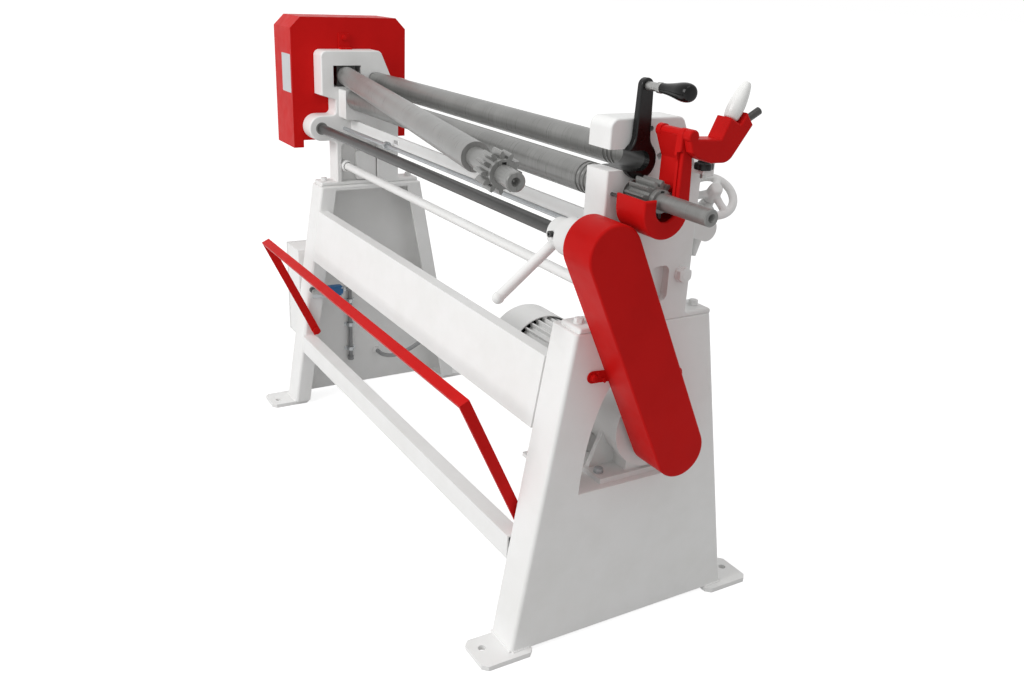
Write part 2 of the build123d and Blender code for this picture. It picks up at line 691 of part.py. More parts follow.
def left_housing():
    """The housing with a window, where the upper roll's swivel block turns."""
    seat = STAND_HEIGHT + BASE_THICK
    outline = polygon((BASE_FRONT, STAND_HEIGHT), (BASE_FRONT, seat), (PILLAR_FRONT, seat),
                      (PILLAR_FRONT, LOWER_Z - 8), (HEAD_FRONT_LEFT, LOWER_Z + 6),
                      (HEAD_FRONT_LEFT, HOUSING_TOP), *housing_rear(HOUSING_TOP))
    web = polygon((DRIVE_Y, DRIVE_Z - SHAFT_BOSS_R), (ROLL_Y, DRIVE_Z - SHAFT_BOSS_R),
                  (ROLL_Y, DRIVE_Z + SHAFT_BOSS_R), (DRIVE_Y, DRIVE_Z + SHAFT_BOSS_R))
    outline += web + at(DRIVE_Y, DRIVE_Z, Circle(SHAFT_BOSS_R))
    inner_corners = outline.vertices().filter_by_position(Axis.X, PILLAR_FRONT - 1, PILLAR_FRONT + 1)
    inner_corners = inner_corners.filter_by_position(Axis.Y, DRIVE_Z - SHAFT_BOSS_R - 1,
                                                     DRIVE_Z + SHAFT_BOSS_R + 1)
    body = cast(fillet(inner_corners, POCKET_R))
    bearing = block(HOUSING_IN - BEARING_REACH, HOUSING_IN + HOUSING_EDGE_R, ROLL_Y - BEARING_HALF,
                    ROLL_Y + BEARING_HALF, LOWER_Z - BEARING_DROP, LOWER_Z + BEARING_RISE)
    body += fillet(bearing.edges().filter_by(Axis.X), BEARING_EDGE_R)
    body -= rod_x(HOUSING_IN - BEARING_REACH - 1, HOUSING_IN, BUSH_R, ROLL_Y, LOWER_Z)
    body -= block(HOUSING_IN - 1, STAND_FACE + 1, ROLL_Y - 50, ROLL_Y + 41,
                  UPPER_Z - SWIVEL_HALF - 1, UPPER_Z + SWIVEL_HALF + 1)
    body -= mirrored(trunnion(TRUNNION_R + RUNNING_FIT, 0.5))
    pocket = block(HOUSING_IN - 1, HOUSING_IN + POCKET_DEPTH, COLUMN_FRONT - 4, 12, seat,
                   STAND_HEIGHT + POCKET_TOP)
    body -= fillet(pocket.edges().filter_by(Axis.X).group_by(Axis.Z)[-1], POCKET_R)
    for point, direction in housing_bolts():
        body -= bolt_hole(point, direction, M12_R)
    return mirrored(body - housing_holes())


def trunnion(radius, room):
    """The upright pins of the swivel block; the lower one is short, above the lower roll's bush."""
    z0 = UPPER_Z - SWIVEL_HALF - TRUNNION_FOOT - room
    z1 = UPPER_Z + SWIVEL_HALF + TRUNNION_HEAD + room
    return Pos(PIVOT_X, ROLL_Y, (z0 + z1) / 2) * Cylinder(radius, z1 - z0)


def swivel_block():
    body = Pos(PIVOT_X, ROLL_Y, UPPER_Z) * Box(SWIVEL_LENGTH, SWIVEL_WIDTH, 2 * SWIVEL_HALF)
    body += trunnion(TRUNNION_R, 0)
    body -= rod_x(PIVOT_X - SWIVEL_LENGTH, PIVOT_X + SWIVEL_LENGTH, UPPER_TAIL_R + RUNNING_FIT,
                  ROLL_Y, UPPER_Z)
    return swung(body)


def centre_hole(x, inward, y, z):
    """A lathe centre in a shaft's end: a cone that narrows inwards."""
    cone = Cone(CENTRE_HOLE_R / 4, CENTRE_HOLE_R, CENTRE_HOLE_DEPTH)
    return Pos(x - inward * CENTRE_HOLE_DEPTH / 2, y, z) * Rot(0, inward * 90, 0) * cone


def upper_roll():
    swivel_face = PIVOT_X + SWIVEL_LENGTH / 2 + 1
    tail = rod_x(PIVOT_X - SWIVEL_LENGTH / 2 - 3, swivel_face, UPPER_TAIL_R, ROLL_Y, UPPER_Z)
    body = rod_x(swivel_face, ROLL_HALF_LENGTH, UPPER_R, ROLL_Y, UPPER_Z)
    neck = rod_x(ROLL_HALF_LENGTH, STAND_FACE + UPPER_GEAR_START, UPPER_NECK_R, ROLL_Y, UPPER_Z)
    tip_x = STAND_FACE + UPPER_TIP_REACH
    tip = rod_x(STAND_FACE + UPPER_GEAR_START, tip_x, UPPER_TIP_R, ROLL_Y, UPPER_Z)
    tip = chamfer(tip.faces().sort_by(Axis.X)[-1].edges(), 2)
    return swung(tail + body + neck + tip - centre_hole(tip_x, 1, ROLL_Y, UPPER_Z))


def upper_gear():
    outline = gear_face(NIP_TEETH, NIP_MODULE, NIP_TIP, NIP_ROOT, -math.pi / 2)
    outline -= Circle(UPPER_TIP_R + FIXED_FIT)
    gear = along_x(at(ROLL_Y, UPPER_Z, outline), STAND_FACE + UPPER_GEAR_START, STAND_FACE + NIP_GEAR_END)
    return swung(gear)


def shaft_collar(x0, outer, radius, y, z):
    """A collar with a keyway, on a shaft of the given radius."""
    collar = ring_x(x0, x0 + COLLAR_WIDTH, outer, radius + FIXED_FIT, y, z)
    return collar - block(x0 - 1, x0 + COLLAR_WIDTH + 1, y - 4, y + 4, z, z + radius + 4)


def upper_collar():
    return swung(shaft_collar(STAND_FACE + NIP_GEAR_END, UPPER_COLLAR_R, UPPER_TIP_R, ROLL_Y, UPPER_Z))


def lower_collar():
    return shaft_collar(STAND_FACE + NIP_GEAR_END, LOWER_COLLAR_R, LOWER_SHAFT_R, ROLL_Y, LOWER_Z)


def grooved_body(start, inset, radius, y, z):
    """A roll's body from start, with wire grooves near its right end."""
    body = rod_x(start, ROLL_HALF_LENGTH, radius, y, z)
    for groove in range(GROOVES):
        x = ROLL_HALF_LENGTH - inset - groove * GROOVE_PITCH
        body -= Pos(x, y, z) * Rot(0, 90, 0) * Torus(radius, GROOVE_R)
    return body


def lower_roll():
    left_end = -STAND_FACE - DRIVE_GEAR_OFFSET - DRIVE_FACE - 12
    right_end = STAND_FACE + LOWER_SHAFT_REACH
    gear_x = STAND_FACE + LOWER_GEAR_START
    start = BEARING_REACH - ROLL_HALF_LENGTH
    shaft = rod_x(left_end, start, LOWER_NECK_R, ROLL_Y, LOWER_Z)
    shaft += rod_x(ROLL_HALF_LENGTH, gear_x, LOWER_NECK_R, ROLL_Y, LOWER_Z)
    tip = rod_x(gear_x, right_end, LOWER_SHAFT_R, ROLL_Y, LOWER_Z)
    tip = chamfer(tip.faces().sort_by(Axis.X)[-1].edges(), 2)
    body = grooved_body(start, LOWER_GROOVE_INSET, LOWER_R, ROLL_Y, LOWER_Z)
    return shaft + body + tip - centre_hole(right_end, 1, ROLL_Y, LOWER_Z)


def lower_gear():
    phase = math.pi / 2 + math.pi / NIP_TEETH
    outline = gear_face(NIP_TEETH, NIP_MODULE, NIP_TIP, NIP_ROOT, phase) - Circle(LOWER_SHAFT_R + FIXED_FIT)
    return along_x(at(ROLL_Y, LOWER_Z, outline), STAND_FACE + LOWER_GEAR_START, STAND_FACE + NIP_GEAR_END)


def drive_gear():
    """The big gear on the lower roll, with a gap turned to the pinion."""
    phase = math.radians(DRIVE_ANGLE) + math.pi / DRIVE_GEAR_TEETH
    outline = gear_face(DRIVE_GEAR_TEETH, DRIVE_MODULE, DRIVE_MODULE, 1.25 * DRIVE_MODULE, phase)
    outline -= Circle(LOWER_NECK_R + FIXED_FIT)
    x1 = -STAND_FACE - DRIVE_GEAR_OFFSET
    gear = along_x(at(ROLL_Y, LOWER_Z, outline), x1 - DRIVE_FACE, x1)
    for hole in range(5):
        angle = 2 * math.pi * hole / 5
        y = ROLL_Y + 62 * math.cos(angle)
        z = LOWER_Z + 62 * math.sin(angle)
        gear -= rod_x(x1 - DRIVE_FACE - 1, x1 + 1, 19, y, z)
    return gear


def drive_pinion():
    phase = math.radians(DRIVE_ANGLE) + math.pi
    outline = gear_face(DRIVE_PINION_TEETH, DRIVE_MODULE, DRIVE_MODULE, 1.25 * DRIVE_MODULE, phase)
    outline -= Circle(DRIVE_SHAFT_R + FIXED_FIT)
    middle = -STAND_FACE - DRIVE_GEAR_OFFSET - DRIVE_FACE / 2
    return along_x(at(DRIVE_Y, DRIVE_Z, outline), middle - PINION_FACE / 2, middle + PINION_FACE / 2)


def drive_shaft():
    left_end = -STAND_FACE - DRIVE_GEAR_OFFSET - DRIVE_FACE - 10
    return rod_x(left_end, STAND_FACE + PULLEY_START + PULLEY_WIDTH + 4, DRIVE_SHAFT_R, DRIVE_Y, DRIVE_Z)


def bushes():
    """Plain bearings of the lower roll and the drive shaft, in both housings."""
    lower = ring_x(HOUSING_IN, STAND_FACE, BUSH_R, LOWER_NECK_R + RUNNING_FIT, ROLL_Y, LOWER_Z)
    drive = ring_x(HOUSING_IN, STAND_FACE, DRIVE_BUSH_R, DRIVE_SHAFT_R + RUNNING_FIT, DRIVE_Y, DRIVE_Z)
    return group(lower, drive, mirrored(lower), mirrored(drive))


def rear_roll():
    roll = grooved_body(-ROLL_HALF_LENGTH, REAR_GROOVE_INSET, REAR_R, REAR_Y, REAR_Z)
    return roll + rod_x(-STAND_FACE + 2, STAND_FACE - 2, REAR_NECK_R, REAR_Y, REAR_Z)


def rear_blocks():
    section = lift_rectangle(LIFT_BLOCK_WIDTH, LIFT_BLOCK_LENGTH, 0)
    bearing = along_x(section, HOUSING_IN + GUIDE_WALL + 1, STAND_FACE - 1)
    bearing -= rod_x(HOUSING_IN, STAND_FACE, REAR_NECK_R + RUNNING_FIT, REAR_Y, REAR_Z)
    return group(bearing, mirrored(bearing))


def lift_screws():
    screw = lift_bar(HOUSING_IN, STAND_FACE, LIFT_SCREW_R, LIFT_SCREW_LENGTH)
    return group(screw, mirrored(screw))


def cross_tube():
    return ring_x(-HOUSING_IN, HOUSING_IN, CROSS_TUBE_R, CROSS_TUBE_R - 3, CROSS_TUBE_Y, CROSS_TUBE_Z)


def wheel_plane():
    """Axes of the lift handwheel, whose spindle leans outwards and a little to the front."""
    tilt = math.radians(WHEEL_TILT)
    turn = math.radians(WHEEL_TURN)
    z_dir = (math.sin(tilt) * math.cos(turn), math.sin(tilt) * math.sin(turn), math.cos(tilt))
    origin = (STAND_FACE - WHEEL_IN, WHEEL_Y, WHEEL_Z)
    return Plane(origin=origin, x_dir=(-math.sin(turn), math.cos(turn), 0), z_dir=z_dir)


def lift_handwheel():
    """A dished cast wheel: rim, three round spokes and a hub."""
    rim_r = WHEEL_R - WHEEL_RIM_R
    wheel = Torus(rim_r, WHEEL_RIM_R)
    for spoke in range(WHEEL_SPOKES):
        turn = Rot(0, 0, WHEEL_SPOKE_ANGLE + 360 * spoke / WHEEL_SPOKES)
        root = Plane(origin=(0, 0, WHEEL_DISH), z_dir=(rim_r, 0, -WHEEL_DISH))
        wheel += turn * extrude(root * Circle(WHEEL_SPOKE_R), amount=math.hypot(rim_r, WHEEL_DISH))
    length = WHEEL_HUB_TOP - WHEEL_HUB_BOTTOM
    hub = Pos(0, 0, WHEEL_HUB_BOTTOM + length / 2) * Cylinder(WHEEL_HUB_R, length)
    return wheel_plane() * (wheel + fillet(hub.faces().sort_by(Axis.Z)[-1].edges(), WHEEL_HUB_R / 3))


def lift_spindle():
    """The wheel's spindle, in the bracket's boss."""
    return wheel_plane() * spindle_bar(SPINDLE_R, SPINDLE_LENGTH)


def spindle_bar(radius, length):
    """A round bar down from the wheel's hub."""
    return Pos(0, 0, WHEEL_HUB_BOTTOM - length / 2) * Cylinder(radius, length)


def lift_bracket():
    """The casting behind the right housing that carries the spindle, with a tapered peg below."""
    x1 = STAND_FACE - HOUSING_EDGE_R
    x0 = x1 - BRACKET_LENGTH
    middle_y = COLUMN_REAR + BRACKET_OUT
    end = at(middle_y, BRACKET_Z, Circle(BRACKET_R))
    root = at(COLUMN_REAR + 1, BRACKET_Z, Rectangle(2, BRACKET_ROOT))
    arm = at(middle_y + BRACKET_ARM_OUT, BRACKET_Z + BRACKET_ARM_OUT, Circle(BRACKET_ARM_R))
    body = along_x(make_hull(end.edges() + root.edges()), x0, x1)
    body += along_x(make_hull(end.edges() + arm.edges()), x0, x0 + BRACKET_ARM)
    top = WHEEL_HUB_BOTTOM - 2
    boss = Cone(WHEEL_BOSS_ROOT_R, WHEEL_BOSS_R, WHEEL_BOSS_LENGTH)
    body += wheel_plane() * Pos(0, 0, top - WHEEL_BOSS_LENGTH / 2) * boss
    foot = BRACKET_Z - BRACKET_R + PEG_R / 2
    peg = Pos((x0 + x1) / 2, middle_y, foot - PEG_LENGTH / 2) * Cone(PEG_TIP_R, PEG_R, PEG_LENGTH)
    tip_hole = Pos((x0 + x1) / 2, middle_y, foot - PEG_LENGTH) * Cylinder(PEG_HOLE_R, PEG_LENGTH / 2)
    return body + peg - tip_hole - wheel_plane() * spindle_bar(SPINDLE_R + RUNNING_FIT, SPINDLE_LENGTH + 1)


def clamp_knob():
    """A star knob with its stud."""
    head = Cylinder(KNOB_R - 4, KNOB_HEIGHT, align=(Align.CENTER, Align.CENTER, Align.MIN))
    for lobe in range(KNOB_LOBES):
        angle = 2 * math.pi * lobe / KNOB_LOBES
        ear = Cylinder(6, KNOB_HEIGHT - 10, align=(Align.CENTER, Align.CENTER, Align.MIN))
        head += Pos((KNOB_R - 6) * math.cos(angle), (KNOB_R - 6) * math.sin(angle), 0) * ear
    stud = Pos(0, 0, -9) * Cylinder(M12_R, 18)
    return Pos(STAND_FACE + KNOB_X, KNOB_Y, KNOB_SEAT_Z + 1) * (head + stud)


def release_slot(x0, x1):
    """The way into the release bush, open to the front at rest."""
    half = UPPER_NECK_R + RUNNING_FIT
    slot = rod_x(x0, x1, half, ROLL_Y, UPPER_Z)
    return slot + block(x0, x1, ROLL_Y - 2 * LEVER_RING_R, ROLL_Y, UPPER_Z - half, UPPER_Z + half)


def release_bush():
    """The slotted bush that locks the upper roll's neck; the lever is fixed on its end."""
    x0 = HOUSING_IN + 4
    x1 = STAND_FACE + LEVER_GAP
    return rod_x(x0, x1, RELEASE_BUSH_R, ROLL_Y, UPPER_Z) - release_slot(x0 - 1, x1 + 1)


def release_lever():
    """The black lever: a slotted hub on the bush's end and an arm that stands up."""
    x0 = STAND_FACE + LEVER_GAP
    x1 = x0 + LEVER_THICK
    half = LEVER_WIDTH / 2
    root_half = LEVER_ROOT_WIDTH / 2
    root = math.sqrt(LEVER_RING_R ** 2 - root_half ** 2)
    arm = polygon((-root_half, root - 1), (root_half, root - 1), (half, LEVER_LENGTH), (-half, LEVER_LENGTH))
    outline = arm + Circle(LEVER_RING_R) + at(0, LEVER_LENGTH, Circle(half))
    flare = outline.vertices().filter_by(lambda corner: abs(corner.Y - root) < LEVER_RING_R / 4)
    outline = fillet(flare, LEVER_FLARE_R)
    lever = along_x(at(ROLL_Y, UPPER_Z, outline), x0, x1)
    faces = lever.faces().sort_by(Axis.X)
    lever = fillet(faces[0].edges() + faces[-1].edges(), LEVER_EDGE_R)
    lever -= release_slot(x0 - 1, x1 + 1)
    return lever - rod_x(x0 - 1, x1 + 1, LEVER_PIN_R + FIXED_FIT, ROLL_Y, UPPER_Z + LEVER_LENGTH)


def lever_pin():
    x0 = STAND_FACE + LEVER_GAP
    x1 = x0 + LEVER_THICK + LEVER_PIN_LENGTH
    z = UPPER_Z + LEVER_LENGTH
    return rod_x(x0, x1, LEVER_PIN_R, ROLL_Y, z) + rod_x(x1, x1 + GRIP_LENGTH - 12, 5, ROLL_Y, z)


def lever_grip():
    """The tapered grip that turns on the pin."""
    x0 = STAND_FACE + LEVER_GAP + LEVER_THICK + LEVER_PIN_LENGTH + 0.5
    grip = Cone(GRIP_SMALL_R, GRIP_LARGE_R, GRIP_LENGTH)
    grip = fillet(grip.faces().sort_by(Axis.Z)[-1].edges(), GRIP_END_R)
    grip = Pos(x0 + GRIP_LENGTH / 2, ROLL_Y, UPPER_Z + LEVER_LENGTH) * Rot(0, 90, 0) * grip
    return grip - rod_x(x0 - 1, x0 + GRIP_LENGTH - 12, 5 + RUNNING_FIT, ROLL_Y, UPPER_Z + LEVER_LENGTH)


def gear_guard():
    """The fixed red guard: a trough round the lower gear, with a column up to the hinge."""
    x0 = STAND_FACE + GUARD_START
    x1 = STAND_FACE + GUARD_END
    inside_r = GUARD_R - GUARD_WALL
    rim = GUARD_TOP - GUARD_MIDDLE
    outline = at(ROLL_Y, GUARD_MIDDLE, Circle(GUARD_R))
    outline += at(ROLL_Y, GUARD_MIDDLE + rim / 2, Rectangle(2 * GUARD_R, rim))
    outline -= at(ROLL_Y, GUARD_TOP + GUARD_R, Rectangle(4 * GUARD_R, 2 * GUARD_R))
    hollow = at(ROLL_Y, GUARD_MIDDLE, Circle(inside_r))
    hollow += at(ROLL_Y, GUARD_MIDDLE + rim, Rectangle(2 * inside_r, 2 * rim))
    slot_z = LOWER_Z - GUARD_SLOT_DROP
    slot = at(ROLL_Y, slot_z, Circle(GUARD_SLOT_HALF))
    slot += at(ROLL_Y, slot_z + GUARD_R, Rectangle(2 * GUARD_SLOT_HALF, 2 * GUARD_R))
    body = along_x(outline, x0, x1) - along_x(hollow, x0 - 1, x1 - GUARD_END_WALL)
    body += along_x(guard_column(0), STAND_FACE + GUARD_COLUMN_START, x1)
    body += along_x(guard_column(GUARD_FLANGE_REACH), STAND_FACE + GUARD_FLANGE_START, x1)
    body += rod_x(STAND_FACE + GUARD_COLUMN_START, x1, HINGE_BARREL_R, HINGE_Y, HINGE_Z)
    for ear_x in (STAND_FACE + GUARD_COLUMN_START, x1 - HINGE_EAR):
        body += rod_x(ear_x, ear_x + HINGE_EAR, HINGE_R, HINGE_Y, HINGE_Z)
    body -= along_x(slot, x1 - GUARD_END_WALL - 1, x1 + 1)
    end = body.faces().filter_by(Axis.X).sort_by(Axis.X)[-1]
    body = fillet(end.outer_wire().edges(), GUARD_EDGE_R)
    foot_y = ROLL_Y + GUARD_R - GUARD_WALL
    body += rod_x(STAND_FACE, STAND_FACE + GUARD_COLUMN_START + 2, GUARD_FOOT_R, foot_y, GUARD_MIDDLE)
    return body - rod_x(x0, x1 + 1, HINGE_PIN_R + FIXED_FIT, HINGE_Y, HINGE_Z)


def guard_column(reach):
    """The column's outline behind the gears, up to the hinge; its front stands out by reach."""
    rear = COLUMN_FACE + GUARD_COLUMN_THICK
    front = COLUMN_FACE - reach
    neck = HINGE_Z - 3 * HINGE_R
    return polygon((front, GUARD_MIDDLE), (rear, GUARD_MIDDLE), (rear - GUARD_LEAN / 3, UPPER_Z),
                   (HINGE_Y + HINGE_R, HINGE_Z), (HINGE_Y - HINGE_R, HINGE_Z), (front - GUARD_LEAN / 2, neck),
                   (front, neck - HINGE_R))


def guard_studs():
    """Where the stud between the right housing and the trough's front wall enters the housing."""
    return [((STAND_FACE, GUARD_FRONT + GUARD_WALL / 2, LOWER_Z), (1, 0, 0))]


def guard_hinge_pin():
    x0 = STAND_FACE + GUARD_COLUMN_START - 3
    return rod_x(x0, STAND_FACE + FLIP_END - FLIP_CAP - 1, HINGE_PIN_R, HINGE_Y, HINGE_Z)


def flip_guard():
    """The red casting that flips over the gears, at rest thrown back on its hinge."""
    ear_start = STAND_FACE + GUARD_END + 1
    x1 = STAND_FACE + FLIP_END
    rear = COLUMN_FACE + GUARD_COLUMN_THICK
    limb = polygon((HINGE_Y - 1, HINGE_Z - 29), (HINGE_Y + 18, HINGE_Z - 41), (HINGE_Y + 48, HINGE_Z - 50),
                   (HINGE_Y + 89, HINGE_Z - 51), (HINGE_Y + 138, HINGE_Z + 16), (HINGE_Y + 121, HINGE_Z + 38),
                   (HINGE_Y + 108, HINGE_Z + 18), (HINGE_Y + 82, HINGE_Z + 31), (HINGE_Y + 64, HINGE_Z - 7),
                   (HINGE_Y + 10, HINGE_Z - 5), (HINGE_Y - 9, HINGE_Z - 5))
    limb = fillet(limb.vertices().sort_by(Axis.Y)[:3], FLIP_BELLY_R)
    ear = limb + at(HINGE_Y, HINGE_Z, Circle(FLIP_EAR_R))
    inboard = limb - at(HINGE_Y, HINGE_Z, Circle(HINGE_R + 2))
    inboard -= at(rear + 2 - HINGE_Z / 2, HINGE_Z, Rectangle(HINGE_Z, HINGE_Z))
    body = along_x(ear, ear_start, x1) + along_x(inboard, STAND_FACE + FLIP_START, ear_start)
    end = body.faces().filter_by(Axis.X).sort_by(Axis.X)[-1]
    body = fillet(end.outer_wire().edges(), GUARD_EDGE_R)
    body -= rod_x(ear_start - 1, x1 - FLIP_CAP, HINGE_PIN_R + RUNNING_FIT, HINGE_Y, HINGE_Z)
    return body - flip_socket(FLIP_ROD_R + FIXED_FIT) - flip_stem(FLIP_STEM_R + FIXED_FIT)


def flip_axes():
    """Planes of the rod and the grip, on the flip guard's outer end."""
    middle = STAND_FACE + (FLIP_START + FLIP_END) / 2
    rod = Plane(origin=(middle, HINGE_Y + 126, HINGE_Z + 18), z_dir=(0, 0.88, 0.47))
    grip = Plane(origin=(middle, HINGE_Y + 95, HINGE_Z + 24.5), z_dir=(0, 1, 2))
    return rod, grip


def flip_socket(radius):
    rod, _ = flip_axes()
    return extrude(rod.offset(-22) * Circle(radius), amount=22 + FLIP_ROD_LENGTH)


def flip_stem(radius):
    _, grip = flip_axes()
    return extrude(grip.offset(-12) * Circle(radius), amount=12 + FLIP_STEM_LENGTH)


def flip_grip():
    """The white egg-shaped grip on its stem."""
    _, grip = flip_axes()
    foot = (FLIP_GRIP_FOOT_R, 0)
    belly = (FLIP_GRIP_R, 0.32 * FLIP_GRIP_LENGTH)
    shoulder = (0.75 * FLIP_GRIP_R, 0.75 * FLIP_GRIP_LENGTH)
    tip = (FLIP_GRIP_TIP_R, FLIP_GRIP_LENGTH)
    top = (0, FLIP_GRIP_LENGTH)
    side = Spline(foot, belly, shoulder, tip, tangents=[(0.3, 1), (-1, 0.2)])
    egg = revolve(Plane.XZ * make_face([Line((0, 0), foot), side, Line(tip, top), Line(top, (0, 0))]), Axis.Z)
    return grip.offset(FLIP_GRIP_GAP) * egg + flip_stem(FLIP_STEM_R)


def belt_guard():
    """The red shell round the belts."""
    x0 = STAND_FACE + BELT_GUARD_WALL
    x1 = STAND_FACE + BELT_GUARD_DEPTH
    outside = along_x(belt_loop(BELT_GUARD_R, BELT_GUARD_R), x0, x1)
    outside = fillet(outside.faces().sort_by(Axis.X)[-1].edges(), 5)
    inside = BELT_GUARD_R - BELT_GUARD_WALL
    return outside - along_x(belt_loop(inside, inside), x0 - 1, x1 - BELT_GUARD_WALL)


def guard_ears():
    """Bolt points of the belt guard's back plate, on the stand's outer plate."""
    half_y = (DRIVE_Y + OUTPUT_Y) / 2
    half_z = (DRIVE_Z + OUTPUT_Z) / 2
    return [(half_y - EAR_FRONT, half_z - EAR_FRONT_DROP), (half_y + EAR_REAR, half_z - EAR_REAR_DROP)]


def belt_guard_back():
    """The guard's back plate, with an ear at each side."""
    plate = belt_loop(BELT_GUARD_R, BELT_GUARD_R)
    middle = at((DRIVE_Y + OUTPUT_Y) / 2, (DRIVE_Z + OUTPUT_Z) / 2 - 60, Circle(12))
    for y, z in guard_ears():
        ear = at(y, z, Circle(13))
        plate += make_hull(middle.edges() + ear.edges())
    plate -= at(DRIVE_Y, DRIVE_Z, Circle(SHAFT_BOSS_R - 12))
    plate -= at(OUTPUT_Y, OUTPUT_Z, Circle(OUTPUT_SHAFT_R + 12))
    for y, z in guard_ears():
        plate -= at(y, z, Circle(M8_R + 0.5))
    return along_x(plate, STAND_FACE, STAND_FACE + BELT_GUARD_WALL)


def guard_bolt_points():
    x = STAND_FACE + BELT_GUARD_WALL
    return [((x, y, z), (1, 0, 0)) for y, z in guard_ears()]


def pulley(radius, bore, y, z):
    """A pulley with two belt grooves."""
    x0 = STAND_FACE + PULLEY_START
    body = ring_x(x0, x0 + PULLEY_WIDTH, radius, bore, y, z)
    for belt in belt_centres():
        body -= ring_x(belt - BELT_WIDTH / 2 - 0.4, belt + BELT_WIDTH / 2 + 0.4, radius + 5,
                       radius - BELT_DEPTH - 0.4, y, z)
    return body


def belt_centres():
    middle = STAND_FACE + PULLEY_START + PULLEY_WIDTH / 2
    return [middle - BELT_PITCH / 2, middle + BELT_PITCH / 2]


def drive_belts():
    outer = belt_loop(DRIVEN_PULLEY_R, MOTOR_PULLEY_R)
    inner = belt_loop(DRIVEN_PULLEY_R - BELT_DEPTH, MOTOR_PULLEY_R - BELT_DEPTH)
    belts = [along_x(outer - inner, x - BELT_WIDTH / 2, x + BELT_WIDTH / 2) for x in belt_centres()]
    return group(*belts)


def driven_pulley():
    return pulley(DRIVEN_PULLEY_R, DRIVE_SHAFT_R + FIXED_FIT, DRIVE_Y, DRIVE_Z)


def motor_pulley():
    return pulley(MOTOR_PULLEY_R, OUTPUT_SHAFT_R + FIXED_FIT, OUTPUT_Y, OUTPUT_Z)


def output_shaft():
    end = STAND_FACE + PULLEY_START + PULLEY_WIDTH + 2
    return rod_x(STAND_FACE - 60, end, OUTPUT_SHAFT_R, OUTPUT_Y, OUTPUT_Z)


def clutch_x():
    return HOUSING_IN - 2 - CLUTCH_HUB_WIDTH / 2


def clutch_lever():
    """The white clutch lever: a hub round the drive shaft and a round-ended arm."""
    x = clutch_x()
    hub = rod_x(x - CLUTCH_HUB_WIDTH / 2, x + CLUTCH_HUB_WIDTH / 2, CLUTCH_HUB_R, DRIVE_Y, DRIVE_Z)
    hub = fillet(hub.edges().filter_by(GeomType.CIRCLE), 2)
    angle = math.radians(CLUTCH_LEVER_ANGLE)
    plane = Plane(origin=(x, DRIVE_Y, DRIVE_Z), z_dir=(0, math.cos(angle), math.sin(angle)))
    arm = extrude(plane.offset(CLUTCH_HUB_R - 8) * Circle(CLUTCH_LEVER_R - 1.5),
                  amount=CLUTCH_LEVER_REACH - CLUTCH_LEVER_R - CLUTCH_HUB_R + 8)
    tip = plane.offset(CLUTCH_LEVER_REACH - CLUTCH_LEVER_R) * Sphere(CLUTCH_LEVER_R)
    bore = rod_x(x - CLUTCH_HUB_WIDTH, x + CLUTCH_HUB_WIDTH, DRIVE_SHAFT_R + RUNNING_FIT, DRIVE_Y, DRIVE_Z)
    return hub + arm + tip - bore - clutch_screw_hole()


def clutch_screw_plane():
    return Plane(origin=(clutch_x() + 6, DRIVE_Y - CLUTCH_HUB_R, DRIVE_Z + 4), z_dir=(0, -1, 0))


def clutch_screw_hole():
    return extrude(clutch_screw_plane().offset(-12) * Circle(M8_R + FIXED_FIT), amount=14)


def clutch_screw():
    """A socket screw in the clutch hub."""
    plane = clutch_screw_plane()
    screw = extrude(plane.offset(0.5) * Circle(6.5), amount=8)
    screw += extrude(plane.offset(-11) * Circle(M8_R), amount=12)
    return screw - extrude(plane.offset(4) * RegularPolygon(3, 6), amount=6)


def shift_rod():
    """The thin control rod, with a collar for its spring and one further left."""
    rod = rod_x(-HOUSING_IN - 40, HOUSING_IN + 40, SHIFT_ROD_R, SHIFT_ROD_Y, SHIFT_ROD_Z)
    for x in (HOUSING_IN - SPRING_LENGTH - 1 - COLLAR_WIDTH, SHIFT_COLLAR_X):
        rod += rod_x(x, x + COLLAR_WIDTH, SHIFT_ROD_R + 6, SHIFT_ROD_Y, SHIFT_ROD_Z)
    return rod


def spring_point(share):
    """A point and a direction on the spring's helix, at a share of its length."""
    angle = 2 * math.pi * SPRING_TURNS * share
    start = HOUSING_IN - SPRING_LENGTH + SPRING_WIRE_R
    length = SPRING_LENGTH - 2 * SPRING_WIRE_R
    point = Vector(start + length * share, SHIFT_ROD_Y + SPRING_R * math.cos(angle),
                   SHIFT_ROD_Z + SPRING_R * math.sin(angle))
    speed = 2 * math.pi * SPRING_TURNS * SPRING_R
    tangent = Vector(length, -speed * math.sin(angle), speed * math.cos(angle)).normalized()
    return point, tangent


def biarc(point_a, tangent_a, point_b, tangent_b):
    """Two arcs that leave point_a along tangent_a and reach point_b along tangent_b."""
    chord = point_b - point_a
    both = tangent_a + tangent_b
    slack = 2 * (1 - tangent_a.dot(tangent_b))
    reach = (math.sqrt(chord.dot(both) ** 2 + slack * chord.dot(chord)) - chord.dot(both)) / slack
    joint = (point_a + point_b + (tangent_a - tangent_b) * reach) * 0.5
    first = TangentArc(point_a, joint, tangent=tangent_a)
    mid_tangent = first % 1
    return first, TangentArc(joint, point_b, tangent=mid_tangent)


def shift_spring():
    """The coil spring between the right housing and the rod's collar."""
    steps = 4 * SPRING_TURNS
    arcs = []
    for step in range(steps):
        start = spring_point(step / steps)
        end = spring_point((step + 1) / steps)
        arcs += biarc(*start, *end)
    path = Wire(arcs)
    point, tangent = spring_point(0)
    spring = sweep(Plane(origin=point, z_dir=tangent) * Circle(SPRING_WIRE_R), path=path)
    pitch = (SPRING_LENGTH - 2 * SPRING_WIRE_R) / SPRING_TURNS
    print("spring: gap between turns", round(pitch - 2 * SPRING_WIRE_R, 2))
    return spring


